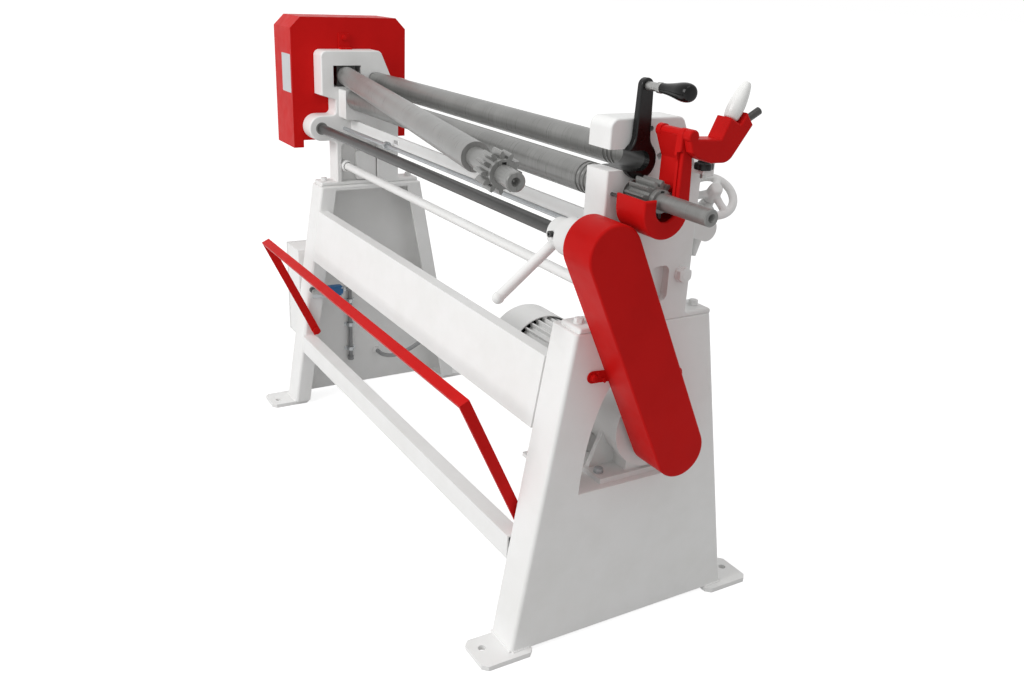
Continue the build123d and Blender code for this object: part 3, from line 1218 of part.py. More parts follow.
def motor_shelf():
    """The shelf on the right stand that carries the gearmotor."""
    x1 = STAND_FACE - STAND_PLATE
    x0 = x1 - SHELF_LENGTH
    bottom = SHELF_TOP - SHELF_THICK
    shelf = block(x0, x1, ARCH_Y - ARCH_HALF - SHELF_FRONT_ROOM, ARCH_Y + ARCH_HALF + SHELF_REAR_ROOM,
                  bottom, SHELF_TOP)
    corners = Polyline((x0 + SHELF_WEB_START, bottom), (x1, bottom), (x1, bottom - SHELF_WEB_DEPTH),
                       close=True)
    web = extrude(Plane.XZ * make_face(corners), amount=SHELF_WEB_THICK)
    for y in (SHELF_WEB_FRONT, SHELF_WEB_REAR):
        shelf += Pos(0, y, 0) * web
    for point, direction in reducer_bolts():
        shelf -= bolt_hole((point[0], point[1], SHELF_TOP + 4), direction, M12_R)
    return shelf


def reducer_bolts():
    """Where the reducer's four foot bolts seat."""
    return [((x, MOTOR_Y + side * (REDUCER_FOOT_HALF - 16), SHELF_TOP + FOOT_THICK), (0, 0, 1))
            for x in (REDUCER_START + 40, STAND_FACE - 48) for side in (-1, 1)]


def reducer():
    """The cast reducer: a round body on a ribbed foot."""
    x0 = REDUCER_START
    x1 = x0 + REDUCER_LENGTH
    body = rod_x(x0, x1, REDUCER_R, MOTOR_Y, MOTOR_Z)
    body += rod_x(x0 - 2, x0 + 18, REDUCER_R + 10, MOTOR_Y, MOTOR_Z)
    body = body + rod_x(x1 - 20, x1, REDUCER_R + 6, MOTOR_Y, MOTOR_Z)
    foot = block(x0 + 16, x1, MOTOR_Y - REDUCER_FOOT_HALF,
                 MOTOR_Y + REDUCER_FOOT_HALF, SHELF_TOP, SHELF_TOP + FOOT_THICK)
    spread = REDUCER_FOOT_HALF - 4
    for x in (x0 + 60, x1 - 70):
        rib = polygon((MOTOR_Y - spread, SHELF_TOP), (MOTOR_Y + spread, SHELF_TOP),
                      (MOTOR_Y + 80, MOTOR_Z), (MOTOR_Y - 80, MOTOR_Z))
        foot += along_x(rib, x, x + 12)
    foot += block(x0 + 20, x1 - 10, MOTOR_Y - 55, MOTOR_Y + 55, SHELF_TOP, MOTOR_Z - 60)
    body += foot
    body -= rod_x(STAND_FACE - 62, x1 + 1, OUTPUT_SHAFT_R + RUNNING_FIT, OUTPUT_Y, OUTPUT_Z)
    for point, direction in reducer_bolts():
        body -= bolt_hole(point, direction, M12_R)
    return body


def motor_body():
    """The finned motor, flanged to the reducer."""
    section = at(MOTOR_Y, MOTOR_Z, Circle(MOTOR_CORE_R))
    reach = MOTOR_FIN_R - MOTOR_CORE_R + 4
    for fin in range(MOTOR_FINS):
        plate = Rot(0, 0, 360 * fin / MOTOR_FINS) * Pos(MOTOR_FIN_R - reach / 2, 0) * Rectangle(reach, 4)
        section += at(MOTOR_Y, MOTOR_Z, plate)
    body = along_x(section, MOTOR_START, REDUCER_START - 20)
    body += rod_x(REDUCER_START - 22, REDUCER_START - 2, REDUCER_R + 10, MOTOR_Y, MOTOR_Z)
    body -= rod_x(MOTOR_START - 1, MOTOR_START + 30, MOTOR_SHAFT_R + RUNNING_FIT, MOTOR_Y, MOTOR_Z)
    return body - terminal_seat()


def terminal_seat():
    """The flat on the motor's rear side for the terminal box."""
    x0 = MOTOR_START + 60
    return block(x0, x0 + BOX_LENGTH, MOTOR_Y + MOTOR_CORE_R - 6, MOTOR_Y + MOTOR_FIN_R + 20,
                 MOTOR_Z - BOX_HEIGHT / 2, MOTOR_Z + BOX_HEIGHT / 2)


def fan_cowl():
    """The sheet cowl over the fan, with a vent ring in its end."""
    x1 = MOTOR_START + 14
    cowl = rod_x(COWL_START, x1, COWL_R, MOTOR_Y, MOTOR_Z)
    cowl = fillet(cowl.faces().sort_by(Axis.X)[0].edges(), COWL_EDGE_R)
    hollow = rod_x(COWL_START + COWL_WALL, x1 + 1, COWL_R - COWL_WALL, MOTOR_Y, MOTOR_Z)
    cowl -= fillet(hollow.faces().sort_by(Axis.X)[0].edges(), COWL_EDGE_R - COWL_WALL)
    for ring in range(3):
        radius = 30 + 20 * ring
        for slot in range(8):
            angle = 2 * math.pi * slot / 8
            y = MOTOR_Y + radius * math.cos(angle)
            z = MOTOR_Z + radius * math.sin(angle)
            cowl -= rod_x(COWL_START - 1, COWL_START + 6, 7, y, z)
    return cowl


def cowl_clips():
    """Four feet that hold the cowl to the motor's fins."""
    inside = COWL_R - COWL_WALL
    section = at(0, (MOTOR_FIN_R + inside) / 2, Rectangle(12, inside - MOTOR_FIN_R))
    clip = along_x(section, MOTOR_START + 1, MOTOR_START + 13)
    feet = [Pos(0, MOTOR_Y, MOTOR_Z) * Rot(360 * side / 4, 0, 0) * clip for side in range(4)]
    return group(*feet)


def motor_fan():
    """The fan on the motor's shaft."""
    hub_x = MOTOR_START - FAN_DEPTH
    back_x = MOTOR_START - FAN_GAP
    fan = rod_x(hub_x, back_x, FAN_HUB_R, MOTOR_Y, MOTOR_Z)
    fan += rod_x(back_x - FAN_PLATE, back_x, FAN_R, MOTOR_Y, MOTOR_Z)
    vane = block(hub_x, back_x - 2, -FAN_VANE / 2, FAN_VANE / 2, FAN_ROOT_R, FAN_R)
    for blade in range(FAN_BLADES):
        fan += Pos(0, MOTOR_Y, MOTOR_Z) * Rot(360 * blade / FAN_BLADES, 0, 0) * vane
    return fan + rod_x(hub_x, MOTOR_START + 28, MOTOR_SHAFT_R, MOTOR_Y, MOTOR_Z)


def terminal_box():
    x0 = MOTOR_START + 60
    y0 = MOTOR_Y + MOTOR_CORE_R - 6
    box = block(x0, x0 + BOX_LENGTH, y0, y0 + BOX_DEPTH, MOTOR_Z - BOX_HEIGHT / 2, MOTOR_Z + BOX_HEIGHT / 2)
    return fillet(box.edges().filter_by(Axis.Y), 6)


def terminal_gland_place():
    x0 = MOTOR_START + 60
    y0 = MOTOR_Y + MOTOR_CORE_R - 6
    return x0, y0 + BOX_DEPTH - 16, MOTOR_Z + 4


def cable_glands():
    """Screwed glands at both ends of the motor cable."""
    x, y, z = terminal_gland_place()
    motor_side = rod_x(x - GLAND_LENGTH, x, GLAND_R, y, z)
    plate = -STAND_FACE + STAND_PLATE
    stand_side = rod_x(plate, plate + GLAND_LENGTH, GLAND_R, CABLE_EXIT_Y, CABLE_EXIT_Z)
    return group(motor_side, stand_side)


def motor_cable():
    """The motor's cable, from the left stand's gland to the terminal box behind the motor."""
    x, y, z = terminal_gland_place()
    start = Vector(-STAND_FACE + STAND_PLATE + GLAND_LENGTH, CABLE_EXIT_Y, CABLE_EXIT_Z)
    end = Vector(x - GLAND_LENGTH, y, z)
    route = [start, start + Vector(40, 0, 0), Vector(-668, 50, 130), Vector(-622, 92, 164),
             Vector(-550, 136, 236), Vector(-430, 157, 302), Vector(-260, 163, 354), Vector(-80, 165, 402),
             Vector(90, 162, 446), end - Vector(110, 0, 0), end]
    radii = []
    for before, corner, after in zip(route, route[1:], route[2:]):
        turn = math.radians((corner - before).get_angle(after - corner))
        shorter = min((corner - before).length, (after - corner).length)
        radii.append(0.45 * shorter / math.tan(turn / 2))
    path = FilletPolyline(*route, radius=radii)
    cable = sweep(Plane(origin=start, z_dir=route[1] - start) * Circle(CABLE_R), path=path)
    print("cable: length", round(path.length), "least bend", round(min(radii)),
          "volume ratio", round(cable.volume / (math.pi * CABLE_R ** 2 * path.length), 4))
    return cable


def gear_case_plate():
    """The back wall of the gear case, on the left housing's outer face."""
    outline = cover_outline(0)
    outline -= at(ROLL_Y, LOWER_Z, Circle(LOWER_NECK_R + 3))
    outline -= at(DRIVE_Y, DRIVE_Z, Circle(DRIVE_SHAFT_R + 3))
    return along_x(outline, -STAND_FACE - COVER_WALL, -STAND_FACE)


def cover_outline(inset):
    """The gear cover's outline, with its top corners cut off and a tab below its front."""
    front = COVER_FRONT + inset
    rear = COVER_REAR - inset
    bottom = COVER_BOTTOM + inset
    top = COVER_TOP - inset
    tab = COVER_FRONT + COVER_TAB - inset
    return polygon((front, bottom), (tab, bottom), (tab, bottom + COVER_STEP), (rear, bottom + COVER_STEP),
                   (rear, top - COVER_CHAMFER), (rear - COVER_CHAMFER, top), (front + COVER_CHAMFER, top),
                   (front, top - COVER_CHAMFER))


def gear_cover():
    """The red cover over the gears at the left end."""
    x0 = -STAND_FACE - COVER_DEPTH
    x1 = -STAND_FACE - COVER_WALL
    shell = along_x(cover_outline(0), x0, x1)
    shell = fillet(shell.faces().sort_by(Axis.X)[0].edges(), 4)
    return shell - along_x(cover_outline(COVER_WALL), x0 + COVER_WALL, x1 + 1)


def cover_latch():
    """The lug that holds the gear case to the top of the left housing, with its screw."""
    x1 = -STAND_FACE + 26
    lug = block(-STAND_FACE, -STAND_FACE + 5, ROLL_Y - 6, ROLL_Y + 30, HOUSING_TOP, HOUSING_TOP + 46)
    lug += block(-STAND_FACE, x1, ROLL_Y - 6, ROLL_Y + 30, HOUSING_TOP, HOUSING_TOP + 6)
    lug += hex_bolt((-STAND_FACE + 5, ROLL_Y + 12, HOUSING_TOP + 34), (1, 0, 0), M8_HEAD, M8_HEAD_HEIGHT, 2)
    return lug - block(-STAND_FACE - 20, -STAND_FACE, ROLL_Y - 20, ROLL_Y + 40,
                       HOUSING_TOP, HOUSING_TOP + 60)


def control_box():
    """The control box on the left stand, open to the left where its door closes it."""
    x0 = -STAND_FACE - CONTROL_DEPTH
    rear = CONTROL_FRONT + CONTROL_WIDTH
    z1 = CONTROL_BOTTOM + CONTROL_HEIGHT
    wall = CONTROL_WALL
    box = block(x0, -STAND_FACE, CONTROL_FRONT, rear, CONTROL_BOTTOM, z1)
    box -= block(x0 - 1, -STAND_FACE - wall, CONTROL_FRONT + wall, rear - wall,
                 CONTROL_BOTTOM + wall, z1 - wall)
    for x, y, z in door_hinges():
        foot = z - DOOR_KNUCKLE / 2
        box += block(x0, x0 + DOOR_KNUCKLE / 2, rear, y + DOOR_KNUCKLE_R / 2, z - DOOR_KNUCKLE, z)
        box += Pos(x, y, foot) * Cylinder(DOOR_KNUCKLE_R, DOOR_KNUCKLE)
        box += Pos(x, y, foot + DOOR_KNUCKLE / 2) * Cylinder(DOOR_PIN_R, 2 * DOOR_KNUCKLE)
    return box


def door_hinges():
    """Points on the door's hinge axis, where a box knuckle meets the door knuckle above it."""
    x = -STAND_FACE - CONTROL_DEPTH - DOOR_GAP
    y = CONTROL_FRONT + CONTROL_WIDTH + DOOR_HINGE_OUT
    z1 = CONTROL_BOTTOM + CONTROL_HEIGHT
    return [(x, y, CONTROL_BOTTOM + DOOR_HINGE_INSET), (x, y, z1 - DOOR_HINGE_INSET)]


def control_door():
    """The door on the box's left side, hinged at its rear edge."""
    x1 = -STAND_FACE - CONTROL_DEPTH - DOOR_GAP
    rear = CONTROL_FRONT + CONTROL_WIDTH
    z1 = CONTROL_BOTTOM + CONTROL_HEIGHT
    door = block(x1 - DOOR_THICK, x1, CONTROL_FRONT, rear, CONTROL_BOTTOM, z1)
    door = fillet(door.faces().sort_by(Axis.X)[0].edges(), DOOR_THICK / 4)
    for x, y, z in door_hinges():
        z0 = z + SLIDE_GAP
        door += block(x - 2 * DOOR_KNUCKLE_R, x, rear - 1, y, z0, z0 + DOOR_KNUCKLE)
        door += Pos(x, y, z0 + DOOR_KNUCKLE / 2) * Cylinder(DOOR_KNUCKLE_R, DOOR_KNUCKLE)
        door -= Pos(x, y, z) * Cylinder(DOOR_PIN_R + RUNNING_FIT, 4 * DOOR_KNUCKLE)
    return door


def door_lock():
    """The door's round key lock."""
    face_x = -STAND_FACE - CONTROL_DEPTH - DOOR_GAP - DOOR_THICK
    middle_z = CONTROL_BOTTOM + CONTROL_HEIGHT / 2
    plane = Plane(origin=(face_x, CONTROL_FRONT + LOCK_INSET, middle_z), z_dir=(-1, 0, 0))
    lock = extrude(plane * Circle(9), amount=5)
    return lock - extrude(plane.offset(3) * Rectangle(3, 12), amount=4)


def switch_x():
    """The switch's inner side, on the left stand's front lip."""
    return -STAND_FACE + STAND_FLANGE + STAND_PLATE / 2


def switch_bracket():
    x0 = -STAND_FACE + STAND_FLANGE
    return block(x0, switch_x(), SWITCH_Y - 34, SWITCH_Y + SWITCH_LENGTH - 8,
                 SWITCH_Z - 8, SWITCH_Z + SWITCH_HEIGHT)


def limit_switch():
    """The blue switch body, with its turret and conduit entry."""
    x0 = switch_x()
    body = block(x0, x0 + SWITCH_WIDTH, SWITCH_Y, SWITCH_Y + SWITCH_LENGTH,
                 SWITCH_Z, SWITCH_Z + SWITCH_HEIGHT)
    body = fillet(body.edges().filter_by(Axis.Y), 4)
    turret = rod_x(x0 + SWITCH_WIDTH, x0 + SWITCH_WIDTH + 6, 11, SWITCH_Y + 13, SWITCH_Z + 12)
    entry = Plane(origin=(x0 + SWITCH_WIDTH / 2, SWITCH_Y + SWITCH_LENGTH, SWITCH_Z + SWITCH_HEIGHT / 2),
                  z_dir=(0, 1, 0))
    body += turret + extrude(entry * Circle(CONDUIT_R + 3), amount=12)
    return body - rod_x(x0 + 10, x0 + SWITCH_WIDTH + 8, 4 + RUNNING_FIT, SWITCH_Y + 13, SWITCH_Z + 12)


def switch_lever():
    """The switch's arm, with the roller that the kick bar meets."""
    x0 = switch_x() + SWITCH_WIDTH + 6.5
    y = SWITCH_Y + 13
    z = SWITCH_Z + 12
    tip_y = y - SWITCH_ARM
    root = at(y, z, Circle(9))
    tip = at(tip_y, z + 14, Circle(5))
    arm = along_x(make_hull(root.edges() + tip.edges()), x0, x0 + 4)
    arm += rod_x(x0 - 18, x0, 4, y, z)
    return arm + rod_x(x0 - SWITCH_ROLLER_LENGTH, x0, SWITCH_ROLLER_R, tip_y, z + 14)


def switch_conduit():
    """The conduit from the switch, bent down along the left stand's plate."""
    x_switch = switch_x() + SWITCH_WIDTH / 2
    x_plate = -STAND_FACE + STAND_PLATE + 3 + CONDUIT_R
    z = SWITCH_Z + SWITCH_HEIGHT / 2
    start = Vector(x_switch, SWITCH_Y + SWITCH_LENGTH + 12, z)
    route = [start, Vector(x_switch, CONDUIT_Y - 8, z), Vector(x_plate, CONDUIT_Y, CONDUIT_TOP + 4),
             Vector(x_plate, CONDUIT_Y, CONDUIT_FOOT)]
    path = FilletPolyline(*route, radius=CONDUIT_BEND)
    conduit = sweep(Plane(origin=start, z_dir=(0, 1, 0)) * Circle(CONDUIT_R), path=path)
    print("conduit: volume ratio", round(conduit.volume / (math.pi * CONDUIT_R ** 2 * path.length), 4))
    return conduit


def conduit_clips():
    """Saddles that hold the conduit to the plate, and the socket at its foot."""
    plate = -STAND_FACE + STAND_PLATE
    x = plate + 3 + CONDUIT_R
    bore = Pos(x, CONDUIT_Y, 0) * Cylinder(CONDUIT_R + FIXED_FIT, 2 * CONDUIT_TOP)
    clips = []
    for z in (CONDUIT_FOOT + 28, CONDUIT_FOOT + 118, CONDUIT_FOOT + 205):
        saddle = Pos(x, CONDUIT_Y, z) * Cylinder(CONDUIT_R + 2, 12)
        saddle += block(plate, plate + 2, CONDUIT_Y - 18, CONDUIT_Y + 18, z - 6, z + 6)
        saddle += block(plate, x, CONDUIT_Y - CONDUIT_R - 2, CONDUIT_Y + CONDUIT_R + 2, z - 6, z + 6)
        clips.append(saddle - bore)
    foot = Pos(x, CONDUIT_Y, CONDUIT_FOOT - 7) * Cylinder(CONDUIT_R + 3, 14)
    foot += block(plate, x, CONDUIT_Y - 8, CONDUIT_Y + 8, CONDUIT_FOOT - 14, CONDUIT_FOOT)
    return group(foot, *clips)


def kick_corner():
    lean = math.radians(KICK_LEAN)
    return KICK_PIVOT_Y - KICK_REACH * math.sin(lean), KICK_PIVOT_Z + KICK_REACH * math.cos(lean)


def kick_bar():
    """The red kick bar: a long flat bar on two arms that lean to the front."""
    x1 = STAND_FACE - STAND_FLANGE - KICK_GAP
    x0 = x1 - KICK_BAR_THICK
    y, z = kick_corner()
    length = KICK_REACH + KICK_ARM_END
    strip = Pos(0, (KICK_REACH - KICK_ARM_END) / 2) * Rectangle(KICK_BAR_WIDTH, length)
    arm = along_x(at(KICK_PIVOT_Y, KICK_PIVOT_Z, Rot(0, 0, KICK_LEAN) * strip), x0, x1)
    arm -= rod_x(x0 - 1, x1 + 1, 8 + RUNNING_FIT, KICK_PIVOT_Y, KICK_PIVOT_Z)
    bar = Pos(0, 0, -KICK_BAR_THICK / 2) * Box(2 * x1, KICK_BAR_WIDTH, KICK_BAR_THICK)
    return arm + mirrored(arm) + Pos(0, y, z) * Rot(KICK_LEAN, 0, 0) * bar


def kick_pivots():
    """Shouldered pins on the stands' lips that the kick bar turns on."""
    lip = STAND_FACE - STAND_FLANGE
    inner = lip - KICK_GAP - KICK_BAR_THICK
    pin = rod_x(inner - 7, lip, 8, KICK_PIVOT_Y, KICK_PIVOT_Z)
    pin += rod_x(lip - KICK_GAP + 1, lip, 12, KICK_PIVOT_Y, KICK_PIVOT_Z)
    pin += rod_x(inner - 7, inner - 1, 12, KICK_PIVOT_Y, KICK_PIVOT_Z)
    return group(pin, mirrored(pin))


def tie_rod():
    """The stay between the housings; its left end has a collar, in the left housing's pocket."""
    left_end = -HOUSING_IN - POCKET_DEPTH
    collar = rod_x(left_end, left_end + COLLAR_WIDTH, TIE_ROD_COLLAR_R, TIE_ROD_Y, TIE_ROD_Z)
    return rod_x(left_end, HOUSING_IN, TIE_ROD_R, TIE_ROD_Y, TIE_ROD_Z) + collar


def large_bolts():
    """Hex bolts of the housings and the reducer's feet, and the gear guard's stud."""
    places = housing_bolts() + reducer_bolts()
    bolts = [hex_bolt(*place, M12_HEAD, M12_HEAD_HEIGHT, M12_R) for place in places]
    bolts += [mirrored(bolt) for bolt in bolts[:2]]
    bolts += [hex_bolt(*place, M20_HEAD, M20_HEAD_HEIGHT, M20_R) for place in housing_side_bolts()]
    for point, direction in guard_studs():
        plane = Plane(origin=point, z_dir=direction)
        bolts.append(extrude(plane.offset(-BOLT_GRIP) * Circle(GUARD_STUD_R), amount=BOLT_GRIP + GUARD_START))
    return group(*bolts)


def small_bolts():
    """Hex bolts of the belt guard."""
    return group(*[hex_bolt(*place, M8_HEAD, M8_HEAD_HEIGHT, M8_R) for place in guard_bolt_points()])


def right_stand():
    body = stand() - arch()
    for (x, y, z), direction in guard_bolt_points():
        body -= bolt_hole((x, y, z), direction, M8_R)
    return body


PARTS = {
    "left_stand": lambda: mirrored(stand()),
    "right_stand": right_stand,
    "foot_plates": foot_plates,
    "front_beam": front_beam,
    "lower_rail": lower_rail,
    "tie_plate": tie_plate,
    "tie_rod": tie_rod,
    "left_housing": left_housing,
    "right_housing": right_housing,
    "roll_bushes": bushes,
    "swivel_block": swivel_block,
    "upper_roll": upper_roll,
    "upper_roll_gear": lambda: group(upper_gear(), upper_collar()),
    "lower_roll": lower_roll,
    "lower_roll_gear": lambda: group(lower_gear(), lower_collar()),
    "drive_gear": drive_gear,
    "rear_roll": rear_roll,
    "rear_roll_blocks": rear_blocks,
    "lift_screws": lift_screws,
    "lift_cross_tube": cross_tube,
    "lift_handwheel": lift_handwheel,
    "lift_spindle": lift_spindle,
    "lift_bracket": lift_bracket,
    "clamp_knob": clamp_knob,
    "release_bush": release_bush,
    "release_lever": release_lever,
    "lever_pin": lever_pin,
    "lever_grip": lever_grip,
    "gear_guard": gear_guard,
    "guard_hinge_pin": guard_hinge_pin,
    "flip_guard": flip_guard,
    "flip_guard_grip": flip_grip,
    "flip_guard_rod": lambda: flip_socket(FLIP_ROD_R),
    "drive_shaft": drive_shaft,
    "drive_pinion": drive_pinion,
    "driven_pulley": driven_pulley,
    "drive_belts": drive_belts,
    "belt_guard": belt_guard,
    "belt_guard_back": belt_guard_back,
    "clutch_lever": clutch_lever,
    "clutch_screw": clutch_screw,
    "shift_rod": shift_rod,
    "shift_spring": shift_spring,
    "motor_shelf": motor_shelf,
    "reducer": reducer,
    "output_shaft": lambda: output_shaft() + motor_pulley(),
    "motor_body": motor_body,
    "fan_cowl": lambda: group(fan_cowl(), cowl_clips()),
    "motor_fan": motor_fan,
    "terminal_box": lambda: group(terminal_box(), cable_glands()),
    "motor_cable": motor_cable,
    "gear_cover": lambda: group(gear_cover(), gear_case_plate(), cover_latch()),
    "control_box": control_box,
    "control_box_door": lambda: group(control_door(), door_lock()),
    "limit_switch": lambda: group(limit_switch(), switch_bracket()),
    "switch_lever": switch_lever,
    "switch_conduit": lambda: group(switch_conduit(), conduit_clips()),
    "kick_bar": kick_bar,
    "kick_bar_pivots": kick_pivots,
    "hex_bolts": lambda: group(large_bolts(), small_bolts()),
}

os.makedirs("parts", exist_ok=True)
for name, make in PARTS.items():
    shape = make()
    export_step(shape, f"parts/{name}.step")
    print(name, len(shape.solids()), round(shape.volume))
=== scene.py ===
# %% [markdown]
# # A powered plate rolling machine
#
# This lesson dresses a workshop machine that curls sheet metal between three steel rolls. The construction
# is already there as a frame of solid pieces at their real size. Here each surface gets the finish of the
# real one: sprayed enamel on sheet steel and castings, ground steel on the rolls, moulded plastic on the
# grips. Pieces that need a softer shape than the solids have are worked out with numpy, in millimetres.

# %% Load the frame
import json
import math

import bmesh
import bpy
import numpy as np
from mathutils import Matrix, Vector


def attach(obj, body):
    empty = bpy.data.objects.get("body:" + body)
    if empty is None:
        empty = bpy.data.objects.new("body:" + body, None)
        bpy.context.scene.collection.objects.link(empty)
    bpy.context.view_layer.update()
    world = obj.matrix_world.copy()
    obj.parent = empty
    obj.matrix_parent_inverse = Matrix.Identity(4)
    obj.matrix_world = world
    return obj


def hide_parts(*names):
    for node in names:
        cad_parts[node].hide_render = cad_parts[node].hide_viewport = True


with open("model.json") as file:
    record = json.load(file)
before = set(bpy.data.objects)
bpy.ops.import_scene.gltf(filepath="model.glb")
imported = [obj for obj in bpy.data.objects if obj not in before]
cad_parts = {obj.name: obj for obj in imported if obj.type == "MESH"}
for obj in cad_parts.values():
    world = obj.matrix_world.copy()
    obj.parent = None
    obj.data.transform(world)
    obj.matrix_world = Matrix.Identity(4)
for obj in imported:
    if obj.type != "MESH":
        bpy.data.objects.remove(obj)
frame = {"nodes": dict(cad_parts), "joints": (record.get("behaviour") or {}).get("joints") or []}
nodes = frame["nodes"]
joints = {joint["name"]: joint for joint in frame["joints"]}
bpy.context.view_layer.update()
MM = 0.001

# %% [markdown]
# ## The camera
#
# The photograph was taken from the release end, a little above the rolls. A camera could be aimed at a
# target, but three turns describe one that stands on a floor more exactly: a heading, a tilt down, and a
# small roll about its own line of sight. From them come the camera's right, up and backward directions,
# which are the columns of its matrix.

# %% Set the camera
PHOTO_WIDTH = 1024
FOCAL_PIXELS = 951.5
SHIFT_PIXELS = (8.66, 12.71)
SENSOR = 36.0
CAMERA_PLACE = (2.2033, -1.2125, 1.3899)
HEADING, TILT_DOWN, ROLL = (math.radians(angle) for angle in (59.128, 21.646, 2.588))

ahead_level = np.array([-math.sin(HEADING), math.cos(HEADING), 0.0])
right_level = np.array([math.cos(HEADING), math.sin(HEADING), 0.0])
zenith = np.array([0.0, 0.0, 1.0])
ahead = math.cos(TILT_DOWN) * ahead_level - math.sin(TILT_DOWN) * zenith
up_level = math.cos(TILT_DOWN) * zenith + math.sin(TILT_DOWN) * ahead_level
right = math.cos(ROLL) * right_level + math.sin(ROLL) * up_level
up = -math.sin(ROLL) * right_level + math.cos(ROLL) * up_level

camera_data = bpy.data.cameras.new("camera")
camera_data.sensor_width = SENSOR
camera_data.lens = FOCAL_PIXELS * SENSOR / PHOTO_WIDTH
camera_data.shift_x = SHIFT_PIXELS[0] / PHOTO_WIDTH
camera_data.shift_y = SHIFT_PIXELS[1] / PHOTO_WIDTH
camera = bpy.data.objects.new("camera", camera_data)
bpy.context.scene.collection.objects.link(camera)
turn = Matrix([[right[i], up[i], -ahead[i]] for i in range(3)]).to_4x4()
camera.matrix_world = Matrix.Translation(CAMERA_PLACE) @ turn
bpy.context.scene.camera = camera
bpy.context.scene.view_settings.view_transform = "Standard"
print("lens", round(camera_data.lens, 2))

# %% [markdown]
# ## One way to write a node tree
#
# Every finish is a small tree of shader nodes. One function adds a node, sets its properties, and fills its
# sockets with numbers or with links. Colours are written as they look on screen, in sRGB hex, and one
# function turns them to the linear values that the renderer counts with.

# %% Node and colour helpers


def linear(hex_colour):
    """Turn an sRGB hex colour to linear RGBA: the power curve of the sRGB standard, per channel."""
    channels = np.array([int(hex_colour[i:i + 2], 16) for i in (1, 3, 5)]) / 255
    low = channels / 12.92
    high = ((channels + 0.055) / 1.055) ** 2.4
    return (*np.where(channels <= 0.04045, low, high), 1.0)


def add(tree, kind, inputs=None, **settings):
    """Add a node of a kind: settings are its properties, inputs its sockets' values or links."""
    node = tree.nodes.new(kind)
    for name, value in settings.items():
        setattr(node, name, value)
    for socket, value in (inputs or {}).items():
        if isinstance(value, bpy.types.NodeSocket):
            tree.links.new(value, node.inputs[socket])
        else:
            node.inputs[socket].default_value = value
    return node


def new_material(name):
    """An empty material: its tree, its principled shader and the piece's own coordinates."""
    material = bpy.data.materials.new(name)
    material.use_nodes = True
    tree = material.node_tree
    shader = next(node for node in tree.nodes if node.type == "BSDF_PRINCIPLED")
    place = add(tree, "ShaderNodeTexCoord").outputs["Object"]
    return material, tree, shader, place


print("mid grey in linear light", round(float(linear("#808080")[0]), 3))

# %% [markdown]
# ## The studio's floor and surround
#
# The picture was cut out on white, so the stage is a plain floor under a white sky. Stronger lamps would make
# both white, but they would bleach the paint too. So the floor and the sky glow only where they are seen
# directly, by the camera or in a reflection. For the light that bounces off it the floor is light grey, so
# that the rolls keep a darker underside, and it takes the machine's shadow as any floor does.

# %% Floor and surround
FLOOR_HALF = 60.0
FLOOR_GLOW = 0.76
WORLD_LIGHT = 0.60


def seen_directly(tree):
    """One for the camera's rays and for those in gloss and glass, and nought for the light that bounces."""
    rays = add(tree, "ShaderNodeLightPath").outputs
    direct = add(tree, "ShaderNodeMath", {0: rays["Is Camera Ray"], 1: rays["Is Glossy Ray"]},
                 operation="MAXIMUM")
    return add(tree, "ShaderNodeMath", {0: direct.outputs[0], 1: rays["Is Transmission Ray"]},
               operation="MAXIMUM").outputs[0]


def white_floor():
    """Matt light grey, with a glow that lifts it to white where it is seen directly and isn't in shadow."""
    material, tree, shader, _ = new_material("studio_floor_matt_white")
    shader.inputs["Base Color"].default_value = linear("#C2C2C2")
    shader.inputs["Roughness"].default_value = 0.9
    shader.inputs["Specular IOR Level"].default_value = 0.0
    glow = add(tree, "ShaderNodeMath", {0: seen_directly(tree), 1: FLOOR_GLOW}, operation="MULTIPLY")
    shader.inputs["Emission Color"].default_value = linear("#FFFFFF")
    tree.links.new(glow.outputs[0], shader.inputs["Emission Strength"])
    return material


def white_world():
    """White at full strength where it is seen directly, and a softer light on the object."""
    world = bpy.data.worlds.new("studio")
    world.use_nodes = True
    tree = world.node_tree
    background = next(node for node in tree.nodes if node.type == "BACKGROUND")
    level = add(tree, "ShaderNodeMapRange", {"Value": seen_directly(tree), "To Min": WORLD_LIGHT,
                                             "To Max": 1.0})
    tree.links.new(level.outputs["Result"], background.inputs["Strength"])
    background.inputs["Color"].default_value = linear("#FFFFFF")
    return world


floor_mesh = bpy.data.meshes.new("floor")
floor_corners = [(-FLOOR_HALF, -FLOOR_HALF, 0), (FLOOR_HALF, -FLOOR_HALF, 0),
                 (FLOOR_HALF, FLOOR_HALF, 0), (-FLOOR_HALF, FLOOR_HALF, 0)]
floor_mesh.from_pydata(floor_corners, [], [(0, 1, 2, 3)])
floor = bpy.data.objects.new("floor", floor_mesh)
bpy.context.scene.collection.objects.link(floor)
floor_mesh.materials.append(white_floor())
bpy.context.scene.world = white_world()
print("floor", 2 * FLOOR_HALF, "m wide, sky's light", WORLD_LIGHT)

# %% [markdown]
# ## The lamps
#
# Soft light comes from large lamps. A wide one at the front makes the faces towards the operator bright and
# leaves the release end in half shade, as in the photograph. A weak one above lifts the upward faces.

# %% Lamps


def soft_lamp(name, place, target, size, power):
    """A square area lamp that looks at a target: its own -Z axis follows the line between them."""
    data = bpy.data.lights.new(name, "AREA")
    data.shape = "SQUARE"
    data.size = size
    data.energy = power
    lamp = bpy.data.objects.new(name, data)
    bpy.context.scene.collection.objects.link(lamp)
    lamp.location = place
    lamp.rotation_euler = (Vector(target) - Vector(place)).to_track_quat("-Z", "Y").to_euler()


